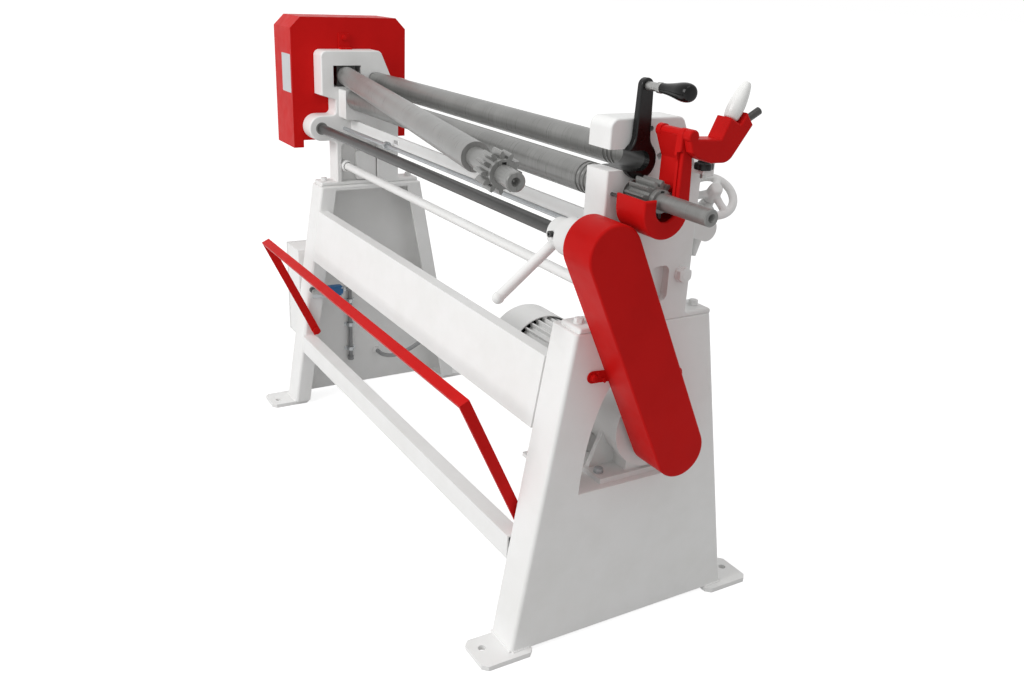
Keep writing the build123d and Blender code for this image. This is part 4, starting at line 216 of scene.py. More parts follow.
soft_lamp("front_lamp", place=(0.3, -4.4, 3.2), target=(0, 0, 0.7), size=2.6, power=146)
soft_lamp("top_lamp", place=(1.3, -0.3, 3.6), target=(-0.2, 0, 0.9), size=1.6, power=12)
print("lamps", len(bpy.data.lights))

# %% [markdown]
# ## Sprayed enamel
#
# Stands, housings and guards are painted steel and iron. A sprayed coat of enamel dries with a faint orange
# peel, a few millimetres across, and is glossy without being a mirror. Castings show the sand mould through
# the coat as a coarser unevenness. Each could have its own tree, but they differ only in colour, gloss and
# the grain's size and depth, so one function takes those. Handled paint also gets a thin film of grime, which
# gathers in soft patches a hand's width across.

# %% Enamel finishes
SPRAY_PEEL = 3.0
SAND_CAST = 9.0
GRIME_PATCH = 120.0
GLOSS_PATCH = 35.0
ENAMEL_IOR = 1.5


def enamel(name, colour, shade, roughness, specular, grain_mm, depth_mm):
    """Sprayed enamel: two close tones in soft patches, uneven gloss, and a relief of the given grain size."""
    material, tree, shader, place = new_material(name)
    patches = add(tree, "ShaderNodeTexNoise", {"Vector": place, "Scale": 1000 / GRIME_PATCH, "Detail": 6.0,
                                               "Roughness": 0.62})
    grime = add(tree, "ShaderNodeMapRange", {"Value": patches.outputs["Fac"], "From Min": 0.42,
                                             "From Max": 0.72})
    tones = add(tree, "ShaderNodeMix", {"Factor": grime.outputs["Result"], "A": linear(colour),
                                        "B": linear(shade)}, data_type="RGBA")
    tree.links.new(tones.outputs["Result"], shader.inputs["Base Color"])
    gloss = add(tree, "ShaderNodeTexNoise", {"Vector": place, "Scale": 1000 / GLOSS_PATCH, "Detail": 4.0})
    level = add(tree, "ShaderNodeMapRange", {"Value": gloss.outputs["Fac"], "From Min": 0.3, "From Max": 0.7,
                                             "To Min": roughness - 0.05, "To Max": roughness + 0.07})
    tree.links.new(level.outputs["Result"], shader.inputs["Roughness"])
    grain = add(tree, "ShaderNodeTexNoise", {"Vector": place, "Scale": 1000 / grain_mm, "Detail": 2.0})
    relief = add(tree, "ShaderNodeBump", {"Height": grain.outputs["Fac"], "Strength": 0.35,
                                          "Distance": depth_mm * MM})
    tree.links.new(relief.outputs["Normal"], shader.inputs["Normal"])
    shader.inputs["IOR"].default_value = ENAMEL_IOR
    shader.inputs["Specular IOR Level"].default_value = specular
    return material


# White two-pack enamel on folded sheet is smooth and softly bright. On iron the sand's grain comes through.
white_sheet = enamel("white_enamel_on_sheet_steel", "#EAEAE9", "#E5E5E3", 0.40, 0.3, SPRAY_PEEL, 0.10)
white_casting = enamel("white_enamel_on_cast_iron", "#E8E8E7", "#E0E0DE", 0.44, 0.3, SAND_CAST, 0.45)
# The red reflects little of the room, so it keeps a deep, even colour.
red_sheet = enamel("red_enamel_on_sheet_steel", "#C41716", "#BC1514", 0.38, 0.05, SPRAY_PEEL, 0.10)
red_casting = enamel("red_enamel_on_cast_iron", "#C61716", "#BC1514", 0.38, 0.06, SAND_CAST, 0.40)
# The lever's black is the glossiest coat, and shows the lamp along its rounded edges.
black_casting = enamel("black_enamel_on_cast_iron", "#0A0A0A", "#121212", 0.28, 0.3, SAND_CAST, 0.35)
# Die-cast zinc has a finer skin than sand-cast iron, so the switch's blue is smooth and satin.
blue_casting = enamel("blue_enamel_on_die_cast_zinc", "#235C8C", "#1C4E78", 0.42, 0.4, SPRAY_PEEL, 0.12)
print("enamels", white_sheet.name, red_sheet.name, blue_casting.name)

# %% [markdown]
# ## Ground and turned steel
#
# The rolls are ground between centres, so their faint scratches run round the axis. Real ones lie a fraction
# of a millimetre apart, too fine to show here, so they are drawn a little coarser. The pattern is a noise
# that is stretched across the axis; where the roll is swung out, a Mapping node turns it with the roll.
# Clean metal mirrors the room, but steel under a film of oil looks duller and greyer, so each finish says
# how bare its metal is.

# %% Steel finishes
SCRATCH = 1.6
SCRATCH_DEPTH = 0.03
ROUND_PER_METRE = 12.0  # a scratch runs about 80 mm before it fades
OIL_STAIN = 90.0


def turned_steel(name, colour, shade, roughness, bare, heading_deg=0.0, scratch_mm=SCRATCH):
    """Steel with scratches round an axis in the level plane, at a heading from +X, under thin oil stains.

    The tone is the scratches' noise times the stains' noise. Bare is the shader's Metallic: one is clean
    metal, and towards nought the oil's grey takes over."""
    material, tree, shader, place = new_material(name)
    along = add(tree, "ShaderNodeMapping", {"Vector": place, "Rotation": (0, 0, math.radians(-heading_deg)),
                                            "Scale": (1000 / scratch_mm, ROUND_PER_METRE, ROUND_PER_METRE)})
    scratches = add(tree, "ShaderNodeTexNoise", {"Vector": along.outputs["Vector"], "Scale": 1.0,
                                                 "Detail": 4.0})
    stains = add(tree, "ShaderNodeTexNoise", {"Vector": place, "Scale": 1000 / OIL_STAIN, "Detail": 5.0})
    both = add(tree, "ShaderNodeMath", {0: scratches.outputs["Fac"], 1: stains.outputs["Fac"]},
               operation="MULTIPLY")
    tone = add(tree, "ShaderNodeMapRange", {"Value": both.outputs[0], "From Min": 0.12, "From Max": 0.40})
    mixed = add(tree, "ShaderNodeMix", {"Factor": tone.outputs["Result"], "A": linear(shade),
                                        "B": linear(colour)}, data_type="RGBA")
    tree.links.new(mixed.outputs["Result"], shader.inputs["Base Color"])
    level = add(tree, "ShaderNodeMapRange", {"Value": scratches.outputs["Fac"], "From Min": 0.3,
                                             "From Max": 0.7, "To Min": roughness - 0.06,
                                             "To Max": roughness + 0.08})
    tree.links.new(level.outputs["Result"], shader.inputs["Roughness"])
    relief = add(tree, "ShaderNodeBump", {"Height": scratches.outputs["Fac"], "Strength": 0.25,
                                          "Distance": SCRATCH_DEPTH * MM})
    tree.links.new(relief.outputs["Normal"], shader.inputs["Normal"])
    shader.inputs["Metallic"].default_value = bare
    return material


swing_axis = joints["upper_roll_spin"]["axis"]
SWING_HEADING = math.degrees(math.atan2(swing_axis[1], swing_axis[0]))
# Ground roll steel is mid grey and satin under its oil; the swung roll has its scratches turned with it.
roll_steel = turned_steel("ground_steel", "#868684", "#727270", 0.32, 0.2)
swung_steel = turned_steel("ground_steel_swung", "#868684", "#727270", 0.32, 0.2, SWING_HEADING)
# Cold-drawn bar keeps a darker skin; pins and turned ends are wiped clean and look brighter.
dark_steel = turned_steel("drawn_dark_steel", "#4A4A49", "#3E3E3D", 0.36, 0.4)
bright_steel = turned_steel("turned_bright_steel", "#A6A6A4", "#969694", 0.30, 0.7)
# Zinc plate is paler and slightly blue; brushed aluminium is paler still, with scratches along the sheet.
zinc_plate = turned_steel("zinc_plated_steel", "#BFC2C4", "#AEB1B3", 0.36, 0.6, scratch_mm=3.0)
brushed_aluminium = turned_steel("brushed_aluminium", "#C6C8CA", "#B8BABC", 0.38, 0.8, 90.0, 1.2)
print("swung roll heading", round(SWING_HEADING, 2))

# %% [markdown]
# ## Moulded plastics and rubber
#
# A moulding takes the polish of its mould, so phenolic and acetal grips are glossy with a faint orange peel,
# while cable sheath, belts and foam are matt. They differ in colour and gloss more than in kind, so one
# function serves them all: a tone that varies a little where the melt flowed, a gloss, and a fine texture.
# A real mould's texture is finer than half a millimetre and would not show here, so the matt ones are drawn
# at 1 to 1.5 mm.

# %% Plastic and rubber finishes
FLOW_MARK = 26.0
PLASTIC_IOR = 1.5


def moulded(name, colour, shade, roughness, texture_mm, depth_mm, specular=0.5):
    """A moulding: two close tones in flow marks, and a fine relief of the mould's texture."""
    material, tree, shader, place = new_material(name)
    flow = add(tree, "ShaderNodeTexNoise", {"Vector": place, "Scale": 1000 / FLOW_MARK, "Detail": 3.0,
                                            "Distortion": 0.6})
    tones = add(tree, "ShaderNodeMix", {"Factor": flow.outputs["Fac"], "A": linear(colour),
                                        "B": linear(shade)}, data_type="RGBA")
    tree.links.new(tones.outputs["Result"], shader.inputs["Base Color"])
    level = add(tree, "ShaderNodeMapRange", {"Value": flow.outputs["Fac"], "From Min": 0.3, "From Max": 0.7,
                                             "To Min": roughness - 0.03, "To Max": roughness + 0.05})
    tree.links.new(level.outputs["Result"], shader.inputs["Roughness"])
    grain = add(tree, "ShaderNodeTexNoise", {"Vector": place, "Scale": 1000 / texture_mm, "Detail": 2.0})
    relief = add(tree, "ShaderNodeBump", {"Height": grain.outputs["Fac"], "Strength": 0.3,
                                          "Distance": depth_mm * MM})
    tree.links.new(relief.outputs["Normal"], shader.inputs["Normal"])
    shader.inputs["IOR"].default_value = PLASTIC_IOR
    shader.inputs["Specular IOR Level"].default_value = specular
    return material


# Phenolic comes polished from its mould: near black, with a small clear highlight.
phenolic = moulded("black_phenolic", "#050505", "#0A0A0A", 0.16, 6.0, 0.05, 0.22)
# Filled nylon has a fine texture, which makes its black satin.
nylon = moulded("black_nylon", "#0C0C0C", "#141414", 0.42, 1.5, 0.08, 0.3)
# Acetal is white right through, and slightly glossy.
acetal = moulded("white_acetal", "#ECECEA", "#E2E2E0", 0.26, 6.0, 0.05)
# A cable's soft sheath has a dull sheen and no sharp highlight.
sheath = moulded("grey_cable_sheath", "#8E8F90", "#808182", 0.5, 1.2, 0.05)
# Belt rubber is matt with dust, and foam, with its open cells, is the dullest black here.
belt_rubber = moulded("belt_rubber", "#1A1A1A", "#262625", 0.7, 1.0, 0.10)
foam_rubber = moulded("black_foam_rubber", "#141414", "#202020", 0.8, 1.2, 0.20)
print("mouldings", phenolic.name, acetal.name, sheath.name)

# %% [markdown]
# ## Dress the frame's pieces
#
# Most of the frame's solids already have the shape of the real piece. Modelling those again would add
# nothing, so they keep their shape and only change their finish.

# %% Give the frame's pieces their finish


def finish_node(material, *names):
    """Give the named pieces of the frame this finish in place of the one they came with."""
    for name in names:
        slots = nodes[name].data.materials
        slots.clear()
        slots.append(material)


finish_node(white_sheet, "left_stand", "right_stand", "foot_plates", "front_beam", "lower_rail", "tie_plate",
            "tie_rod", "control_box", "control_box_door", "motor_shelf", "fan_cowl", "terminal_box")
finish_node(white_casting, "left_housing", "right_housing", "clutch_lever", "reducer", "motor_body",
            "lift_handwheel", "lift_bracket", "driven_pulley", "rear_roll_blocks")
finish_node(red_sheet, "gear_cover", "belt_guard", "belt_guard_back", "kick_bar", "kick_bar_pivots")
finish_node(red_casting, "gear_guard", "flip_guard")
finish_node(black_casting, "release_lever")
finish_node(roll_steel, "lower_roll", "rear_roll", "lower_roll_gear", "drive_gear", "drive_pinion",
            "roll_bushes")
finish_node(swung_steel, "upper_roll", "upper_roll_gear")
finish_node(dark_steel, "drive_shaft", "clutch_screw", "swivel_block", "release_bush", "flip_guard_rod")
finish_node(zinc_plate, "shift_rod", "shift_spring")
finish_node(bright_steel, "lift_spindle", "lever_pin", "guard_hinge_pin", "hex_bolts", "output_shaft",
            "lift_screws", "lift_cross_tube", "switch_lever")
finish_node(phenolic, "lever_grip")
finish_node(nylon, "clamp_knob", "motor_fan")
finish_node(acetal, "flip_guard_grip")
finish_node(blue_casting, "limit_switch")
finish_node(sheath, "switch_conduit", "motor_cable")
finish_node(belt_rubber, "drive_belts")
print("dressed", sum(bool(node.data.materials) for node in nodes.values()), "of", len(nodes))

# %% [markdown]
# ## Turned shapes
#
# A new piece is a grid of points: rows along it, columns round it. Whole arrays give the points at once. The
# commonest shape on a machine comes from a lathe, and its grid needs only a profile and an axis. Blender's
# Spin would give it too, but a grid joins other grids in one mesh, by one function.

# %% Directions and turned shapes


def unit(vector):
    """The vector over its own length."""
    return np.asarray(vector, float) / np.linalg.norm(vector)


def axes_round(axis):
    """Two directions across an axis: the cross products with whichever of Z and X is less in line with it."""
    along = unit(axis)
    other = np.array([0.0, 0.0, 1.0]) if abs(along[2]) < 0.8 else np.array([1.0, 0.0, 0.0])
    first = unit(np.cross(other, along))
    return first, np.cross(along, first), along


def turned(profile, origin, axis, segments=48):
    """A lathe's shape: each (along, radius) of the profile goes round the axis as a circle."""
    along, radius = np.array(profile, float).T
    first, second, ahead_axis = axes_round(axis)
    angle = np.linspace(0, 2 * np.pi, segments, endpoint=False)
    ring = np.cos(angle)[:, None] * first + np.sin(angle)[:, None] * second
    return np.asarray(origin, float) + along[:, None, None] * ahead_axis + radius[:, None, None] * ring


UPWARD, OUTWARD, ACROSS = (0, 0, 1), (1, 0, 0), (0, 1, 0)
print("directions across the rolls' axis", *axes_round(OUTWARD)[:2])

# %% [markdown]
# ## Soft profiles and carried sections
#
# Mouldings and castings have no sharp corners. A Bevel modifier would round a finished mesh; cutting the
# corners of the profile first gives the same soft line with the points where they are needed. A bar or a
# weld bead is a round section carried along a path.

# %% Profiles and sections


def softened(profile, times=3):
    """Cut the corners of a profile: each run keeps its quarter points, and the two ends stay."""
    points = np.array(profile, float)
    for _ in range(times):
        near = 0.75 * points[:-1] + 0.25 * points[1:]
        far = 0.25 * points[:-1] + 0.75 * points[1:]
        cut = np.stack([near, far], axis=1).reshape(-1, points.shape[1])
        points = np.concatenate([points[:1], cut, points[-1:]])
    return points


def carried(path, radius, segments=16):
    """A round section carried along a path: at each point a circle lies across the path's direction."""
    path = np.asarray(path, float)
    direction = np.gradient(path, axis=0)
    direction = direction / np.linalg.norm(direction, axis=1, keepdims=True)
    steady = np.array([0.31, 0.52, 0.79])  # in line with no path here
    first = np.cross(direction, steady)
    first = first / np.linalg.norm(first, axis=1, keepdims=True)
    second = np.cross(direction, first)
    angle = np.linspace(0, 2 * np.pi, segments, endpoint=False)
    ring = np.cos(angle)[None, :, None] * first[:, None] + np.sin(angle)[None, :, None] * second[:, None]
    return path[:, None] + np.broadcast_to(radius, len(path))[:, None, None] * ring


print("a corner becomes", len(softened([(0, 0), (1, 0), (1, 1)])), "points")

# %% [markdown]
# ## Plates with eased rims
#
# Lids, pads and data plates are rounded rectangles whose edges were broken with a file or by the mould. A
# cube with a Bevel modifier rounds all its edges alike, so the plate is worked out as rows of one outline,
# with one radius for its corners and a smaller one for its rim.

# %% Plates


def rounded_plate(centre, across, upward, half, corner, thick, rim):
    """A plate with round corners and an eased rim: a rounded rectangle that shrinks as it nears each face.

    The outline's corner circles have the corner's radius. Towards a face the outline comes in by the rim's
    radius times one less the sine of the angle, and the last rows shrink to the face's middle."""
    centre, u, v = np.asarray(centre, float), unit(across), unit(upward)
    w = np.cross(u, v)
    angle = np.linspace(0, 2 * np.pi, 64, endpoint=False) + np.pi / 64
    corner_u = np.sign(np.cos(angle)) * (half[0] - corner)
    corner_v = np.sign(np.sin(angle)) * (half[1] - corner)
    ease = np.linspace(0, np.pi / 2, 5)
    inset = np.concatenate([rim * (1 - np.sin(ease)), rim * (1 - np.cos(ease))])
    height = np.concatenate([rim * (1 - np.cos(ease)), thick - rim + rim * np.sin(ease)])
    out = (corner - inset)[:, None]
    flat_u = corner_u + out * np.cos(angle)
    flat_v = corner_v + out * np.sin(angle)
    rows = centre + flat_u[..., None] * u + flat_v[..., None] * v + height[:, None, None] * w
    ends = [np.broadcast_to(centre + h * w, (1, len(angle), 3)) for h in (0.0, thick)]
    return np.concatenate([ends[0], rows, ends[1]])


print("a plate's grid", rounded_plate((0, 0, 0), OUTWARD, ACROSS, (9, 9), 2, 3, 1).shape)

# %% [markdown]
# ## From grids to a piece
#
# Blender's own tools each add one kind of shape. Here one function turns any grids into a mesh, with a
# four-sided face for each cell. Where a row shrinks to a single point, merging the doubled points closes the
# end. Every piece says which body of the machine it rides on.

# %% Mesh helper
MERGE, THIN = 1e-7, 1e-8


def make_piece(name, grids, material, body, crease_deg=38.0):
    """One mesh from grids of points in millimetres, each closed round its columns."""
    points = [grid.reshape(-1, 3) for grid in grids]
    starts = np.cumsum([0] + [len(p) for p in points])
    quads = []
    for grid, start in zip(grids, starts):
        index = start + np.arange(grid.shape[0] * grid.shape[1]).reshape(grid.shape[:2])
        beside = np.roll(index, -1, axis=1)
        quads.append(np.stack([index[:-1], beside[:-1], beside[1:], index[1:]], axis=-1).reshape(-1, 4))
    mesh = bpy.data.meshes.new(name)
    mesh.from_pydata(np.concatenate(points) * MM, [], np.concatenate(quads))
    work = bmesh.new()
    work.from_mesh(mesh)
    bmesh.ops.remove_doubles(work, verts=work.verts, dist=MERGE)
    bmesh.ops.dissolve_degenerate(work, edges=work.edges, dist=THIN)
    bmesh.ops.recalc_face_normals(work, faces=work.faces)
    work.to_mesh(mesh)
    work.free()
    mesh.polygons.foreach_set("use_smooth", np.ones(len(mesh.polygons), bool))
    mesh.set_sharp_from_angle(angle=math.radians(crease_deg))
    mesh.materials.append(material)
    piece = bpy.data.objects.new(name, mesh)
    bpy.context.scene.collection.objects.link(piece)
    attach(piece, body)
    print(name, len(mesh.polygons), "faces")
    return piece


print("points nearer than", MERGE, "m are merged")

# %% [markdown]
# ## Hex bolts
#
# A real bolt head is turned before its flats are pressed, so a cone meets the six flats in curved edges.
# Round the head the flats stand at the apothem over the cosine of the angle from the nearest flat's middle,
# and where the cone is smaller the cone wins. The solids have plain prisms, so these heads with their
# washers stand in for them.

# %% Shape a bolt
BOLT_CONE = math.tan(math.radians(30))
FACE_SHARE = 0.95
WASHER_THICK, WASHER_EASE = 3.0, 0.6


def hex_head(seat, axis, flats, height):
    """A bolt head: a ring of the hexagon, one more where a cone of 30 degrees cuts it, and a round face.

    The cone's edge falls below the face by the tangent of 30 degrees times how far the hexagon stands out."""
    first, second, out = axes_round(axis)
    angle = np.linspace(0, 2 * np.pi, 96, endpoint=False)
    apothem = flats / 2
    hexagon = apothem / np.cos((angle + np.pi / 6) % (np.pi / 3) - np.pi / 6)
    edge = height - (hexagon - FACE_SHARE * apothem) * BOLT_CONE
    rim = np.full_like(angle, FACE_SHARE * apothem)
    radius = np.stack([0 * angle, hexagon, hexagon, rim, 0 * angle])
    along = np.stack([0 * angle, 0 * angle, edge, 0 * angle + height, 0 * angle + height])
    ring = np.cos(angle)[:, None] * first + np.sin(angle)[:, None] * second
    return np.asarray(seat, float) + along[..., None] * out + radius[..., None] * ring


def washered_bolt(seat, axis, flats, height, washer_r, thread_r):
    """A washer with eased edges, a head on it, and a short end of thread that stands out of the head."""
    axis = unit(axis)
    top = np.asarray(seat, float) + WASHER_THICK * axis
    inner = washer_r - WASHER_EASE
    washer = turned([(0, 0), (0, inner), (WASHER_EASE, washer_r), (WASHER_THICK - WASHER_EASE, washer_r),
                     (WASHER_THICK, inner), (WASHER_THICK, 0)], seat, axis)
    thread = turned([(height - 1, 0), (height - 1, thread_r), (height + 0.5, thread_r - 0.4),
                     (height + 0.5, thread_r - 1.6), (height + 0.2, 0)], top, axis)
    return [washer, hex_head(top, axis, flats, height), thread]


def bolts_at(places, axis, size):
    """The grids of one size of bolt, at each of several seats."""
    return [grid for seat in places for grid in washered_bolt(seat, axis, **size)]


print("a bolt's grids", [grid.shape for grid in washered_bolt((0, 0, 0), UPWARD, 18.0, 8.0, 11.0, 6.0)])

# %% [markdown]
# ## Where the bolts go
#
# Four bolts hold the housings on the stands, and a large one sits in the right housing's side. They were
# painted with the castings. The bolts of the gearmotor's foot were left in their zinc, and those of the belt
# guard's ears are red like the guard. A plain stud holds the gear guard. The sizes are in one table each, so
# that a list of seats is all that a row of bolts needs.

# %% Make the bolts
FOOT_BOLT = {"flats": 18.0, "height": 8.0, "washer_r": 11.0, "thread_r": 6.0}
SIDE_BOLT = {"flats": 30.0, "height": 12.0, "washer_r": 18.2, "thread_r": 9.0}
EAR_BOLT = {"flats": 13.0, "height": 5.5, "washer_r": 8.0, "thread_r": 4.0}
HOUSING_FOOT_TOP, GEARMOTOR_FOOT_TOP = 751.0, 384.0
RIGHT_FACE, EAR_FACE = 770.0, 773.0
STUD_SEAT = (RIGHT_FACE, -133.5, 1017.0)

base_seats = [(x, y, HOUSING_FOOT_TOP) for x in (-735.0, 735.0) for y in (-162.0, 135.0)]
side_seats = [(RIGHT_FACE, 61.0, 838.0)]
foot_seats = [(x, y, GEARMOTOR_FOOT_TOP) for x in (600.0, 722.0) for y in (-70.0, 158.0)]
ear_seats = [(EAR_FACE, -143.4, 642.6), (EAR_FACE, 79.6, 614.6)]
painted = bolts_at(base_seats, UPWARD, FOOT_BOLT) + bolts_at(side_seats, OUTWARD, SIDE_BOLT)
plated = bolts_at(foot_seats, UPWARD, FOOT_BOLT)
stud = turned([(0, 0), (0, 3.5), (19.8, 3.5), (20.0, 3.2), (20.0, 0)], STUD_SEAT, OUTWARD)
housing_bolts = make_piece("housing_bolts", painted, white_casting, "frame")
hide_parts("hex_bolts")
make_piece("gearmotor_bolts", plated, zinc_plate, "frame")
make_piece("guard_stud", [stud], dark_steel, "frame")
make_piece("belt_guard_bolts", bolts_at(ear_seats, OUTWARD, EAR_BOLT), red_sheet, "frame")

# %% [markdown]
# ## The grips
#
# The release lever's grip is a phenolic moulding that turns on its pin: thin at the lever, full towards the
# hand, with a round end. The flip guard's grip is a white egg. Both are lathe shapes, and a few corner cuts
# on a handful of profile points give the soft line that a mould has.

# %% Make the grips
COLLAR_START, GRIP_START = (817.0, -84.0, 1216.0), (827.5, -84.0, 1216.0)
grip_profile = softened([(0, 0), (0, 9.3), (6, 9.5), (18, 10.4), (38, 13.6), (56, 16.8), (70, 17.0),
                         (80, 14.0), (82, 7.0), (82, 0)], 4)
lever_grip = make_piece("lever_grip_moulding", [turned(grip_profile, GRIP_START, OUTWARD, 64)], phenolic,
                        "lever_grip", 60)
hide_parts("lever_grip")
ferrule = turned([(0, 0), (0, 9.2), (0.8, 10.0), (9, 10.0), (10, 9.2), (10, 0)], COLLAR_START, OUTWARD)
make_piece("lever_pin_collar", [ferrule], bright_steel, "release_lever")

EGG_FOOT, EGG_AXIS = (875.0, 41.2, 1163.9), unit((0, 1, 2))
egg_profile = softened([(0, 0), (0, 12.4), (8, 14.8), (22, 16.4), (42, 15.0), (60, 11.6), (72, 7.6),
                        (74, 3), (74, 0)], 4)
flip_grip = make_piece("flip_grip_moulding", [turned(egg_profile, EGG_FOOT, EGG_AXIS, 64)], acetal,
                       "flip_guard", 60)
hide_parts("flip_guard_grip")

# %% [markdown]
# ## The cast handwheel
#
# The rear roll is lifted with a small cast wheel: an oval rim, three thick spokes that rise to the hub, and
# soft corners everywhere, because sand doesn't keep sharp ones. Closed shapes that overlap are remeshed to
# one skin, and smoothing rounds the corners between them, which is how a pattern maker's fillets look.

# %% Make the handwheel
WHEEL_CENTRE = np.array([745.0, 140.0, 988.0])
RIM_RADIUS, RIM_HALF_ACROSS, RIM_HALF_ALONG = 47.0, 9.0, 8.2
SPOKES, SPOKE_TURN = 3, 60.0
SPOKE_START, SPOKE_LENGTH, SPOKE_RISE = 3.0, 44.0, 12.0
SPOKE_RADIUS, SPOKE_FLARE = 8.0, 1.6
SKIN_VOXEL = 1.3

wheel_axis = unit(joints["handwheel_turn"]["axis"])
level_dir = unit(np.cross(UPWARD, wheel_axis))
slope_dir = np.cross(wheel_axis, level_dir)


def wheel_rim(radius, half_across, half_along):
    """An oval section carried round a circle."""
    round_angle = np.linspace(0, 2 * np.pi, 97)
    oval = np.linspace(0, 2 * np.pi, 24, endpoint=False)
    reach = radius + half_across * np.cos(oval)
    rise = half_along * np.sin(oval)
    spin = np.cos(round_angle)[:, None] * level_dir + np.sin(round_angle)[:, None] * slope_dir
    return WHEEL_CENTRE + spin[:, None] * reach[None, :, None] + rise[None, :, None] * wheel_axis


def wheel_spoke(turn_deg):
    """A round bar from high on the hub to the rim, thicker by the square of the distance from its middle."""
    way = math.cos(math.radians(turn_deg)) * level_dir + math.sin(math.radians(turn_deg)) * slope_dir
    share = np.linspace(0, 1, 17)
    rise = SPOKE_RISE * (1 - share) ** 1.4
    path = WHEEL_CENTRE + (SPOKE_START + SPOKE_LENGTH * share)[:, None] * way + rise[:, None] * wheel_axis
    thick = SPOKE_RADIUS + SPOKE_FLARE * (2 * share - 1) ** 2
    thick[[0, -1]] = 0.0
    return carried(path, thick, 20)


hub_profile = softened([(-10, 0), (-10, 14.8), (6, 15.5), (27, 14.6), (33, 12.0), (33, 0)], 2)
wheel_parts = [wheel_rim(RIM_RADIUS, RIM_HALF_ACROSS, RIM_HALF_ALONG),
               turned(hub_profile, WHEEL_CENTRE, wheel_axis, 40)]
wheel_parts += [wheel_spoke(SPOKE_TURN + 360 / SPOKES * k) for k in range(SPOKES)]
handwheel = make_piece("handwheel_casting", wheel_parts, white_casting, "handwheel", 70)
skin = handwheel.modifiers.new("one_skin", "REMESH")
skin.mode = "VOXEL"
skin.voxel_size = SKIN_VOXEL * MM
skin.use_smooth_shade = True
soft = handwheel.modifiers.new("pattern_fillets", "SMOOTH")
soft.factor = 0.5
soft.iterations = 6
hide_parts("lift_handwheel")

# %% [markdown]
# ## The star knob
#
# The clamp knob is a moulded star: round its axis the radius swells six times, and towards the top it rounds
# over into a plain boss. Six cylinders joined to a disc would need fillets between them; a radius that goes
# up and down with the cosine of six times the angle has them already.

# %% Make the knob
KNOB_FOOT = np.array([797.0, 63.0, 1057.0])
KNOB_RADIUS, KNOB_SWELL, KNOB_LOBES = 18.0, 1.5, 6
# Each row of the knob, from its foot up: height, share of the radius, and share of the swell.
knob_rows = [(0, 0, 0), (0, 0.93, 1), (1.5, 0.99, 1), (7, 1.0, 1), (11, 0.98, 1), (13, 0.90, 1),
             (14, 0.70, 0.3), (18, 0.64, 0), (23, 0.60, 0), (26.2, 0.52, 0), (27, 0.40, 0), (27, 0, 0)]
knob_along, knob_reach, knob_lobed = np.array(knob_rows, float).T
knob_angle = np.linspace(0, 2 * np.pi, 120, endpoint=False)
swell = KNOB_RADIUS + KNOB_SWELL * np.cos(KNOB_LOBES * knob_angle)[None] * knob_lobed[:, None]
knob_ring = np.stack([np.cos(knob_angle), np.sin(knob_angle), 0 * knob_angle], axis=-1)
knob_grid = KNOB_FOOT + (knob_reach[:, None] * swell)[..., None] * knob_ring
knob_grid[..., 2] += knob_along[:, None]
knob_stud = turned([(-17, 0), (-17, 5.4), (-16, 6), (1, 6), (1, 0)], KNOB_FOOT, UPWARD)
knob = make_piece("clamp_knob_moulding", [knob_grid], nylon, "knob", 50)
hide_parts("clamp_knob")
make_piece("clamp_knob_stud", [knob_stud], bright_steel, "knob")

# %% [markdown]
# ## The switch under the kick bar
#
# Pushing the kick bar trips a small position switch: a blue die-cast body with a lid on four screws, and a
# steel arm with a black roller. The solid holds its place as one block; these pieces add the lid, the screws
# and the separate materials. Every place is counted from one corner of the body.

# %% Make the switch
SWITCH = np.array([-676.0, -199.0, 384.0])
switch_body = make_piece("switch_body", [
    rounded_plate(SWITCH + (0, 31.5, 16), ACROSS, UPWARD, half=(31.5, 16), corner=5, thick=26, rim=2.0),
    rounded_plate(SWITCH + (26, 37, 16), ACROSS, UPWARD, half=(25, 14.5), corner=4, thick=4, rim=1.2),
    turned([(0, 0), (0, 11), (5, 11), (6, 10), (6, 0)], SWITCH + (30, 13, 12), OUTWARD)],
    blue_casting, "frame")
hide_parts("limit_switch")
lid_screws = [turned([(0, 0), (0, 2.4), (1.2, 2.2), (1.6, 1.2), (1.6, 0)],
                     SWITCH + (29.8, 37 + 21 * side, 16 + 11 * height), OUTWARD, 20)
              for side in (-1, 1) for height in (-1, 1)]
entry = turned(softened([(0, 0), (0, 10), (7, 10), (7, 9), (12, 9), (12, 0)], 1), SWITCH + (15, 63, 16),
               ACROSS)
mount = rounded_plate(SWITCH + (-3, 10.5, 12), ACROSS, UPWARD, half=(44.5, 20), corner=3, thick=3, rim=0.6)
make_piece("switch_fittings", lid_screws + [entry, mount], zinc_plate, "frame")
roller = turned(softened([(0, 0), (0, 8.6), (2, 9.2), (26, 9.2), (28, 8.6), (28, 0)], 2),
                SWITCH + (7.5, -38, 26), OUTWARD)
make_piece("switch_roller", [roller], nylon, "switch_lever")

# %% [markdown]
# ## The conduit's saddles
#
# The switch's conduit is held to the left stand by plated saddles: strips of steel bent over it, with a
# screw in each foot. A strip could be bent by a modifier, but its line is simple enough to write down as it
# is seen from above, and a small rectangle is carried along that.

# %% Make the saddles
CONDUIT = np.array([-754.0, -73.0])
SADDLE_HEIGHTS = (148.0, 238.0, 325.0)
BEND, STRIP_HALF_THICK, STRIP_HALF_WIDE = 9.6, 0.9, 6.3
SCREW_SEAT, SCREW_OUT = CONDUIT[0] - 7.2, 15.0


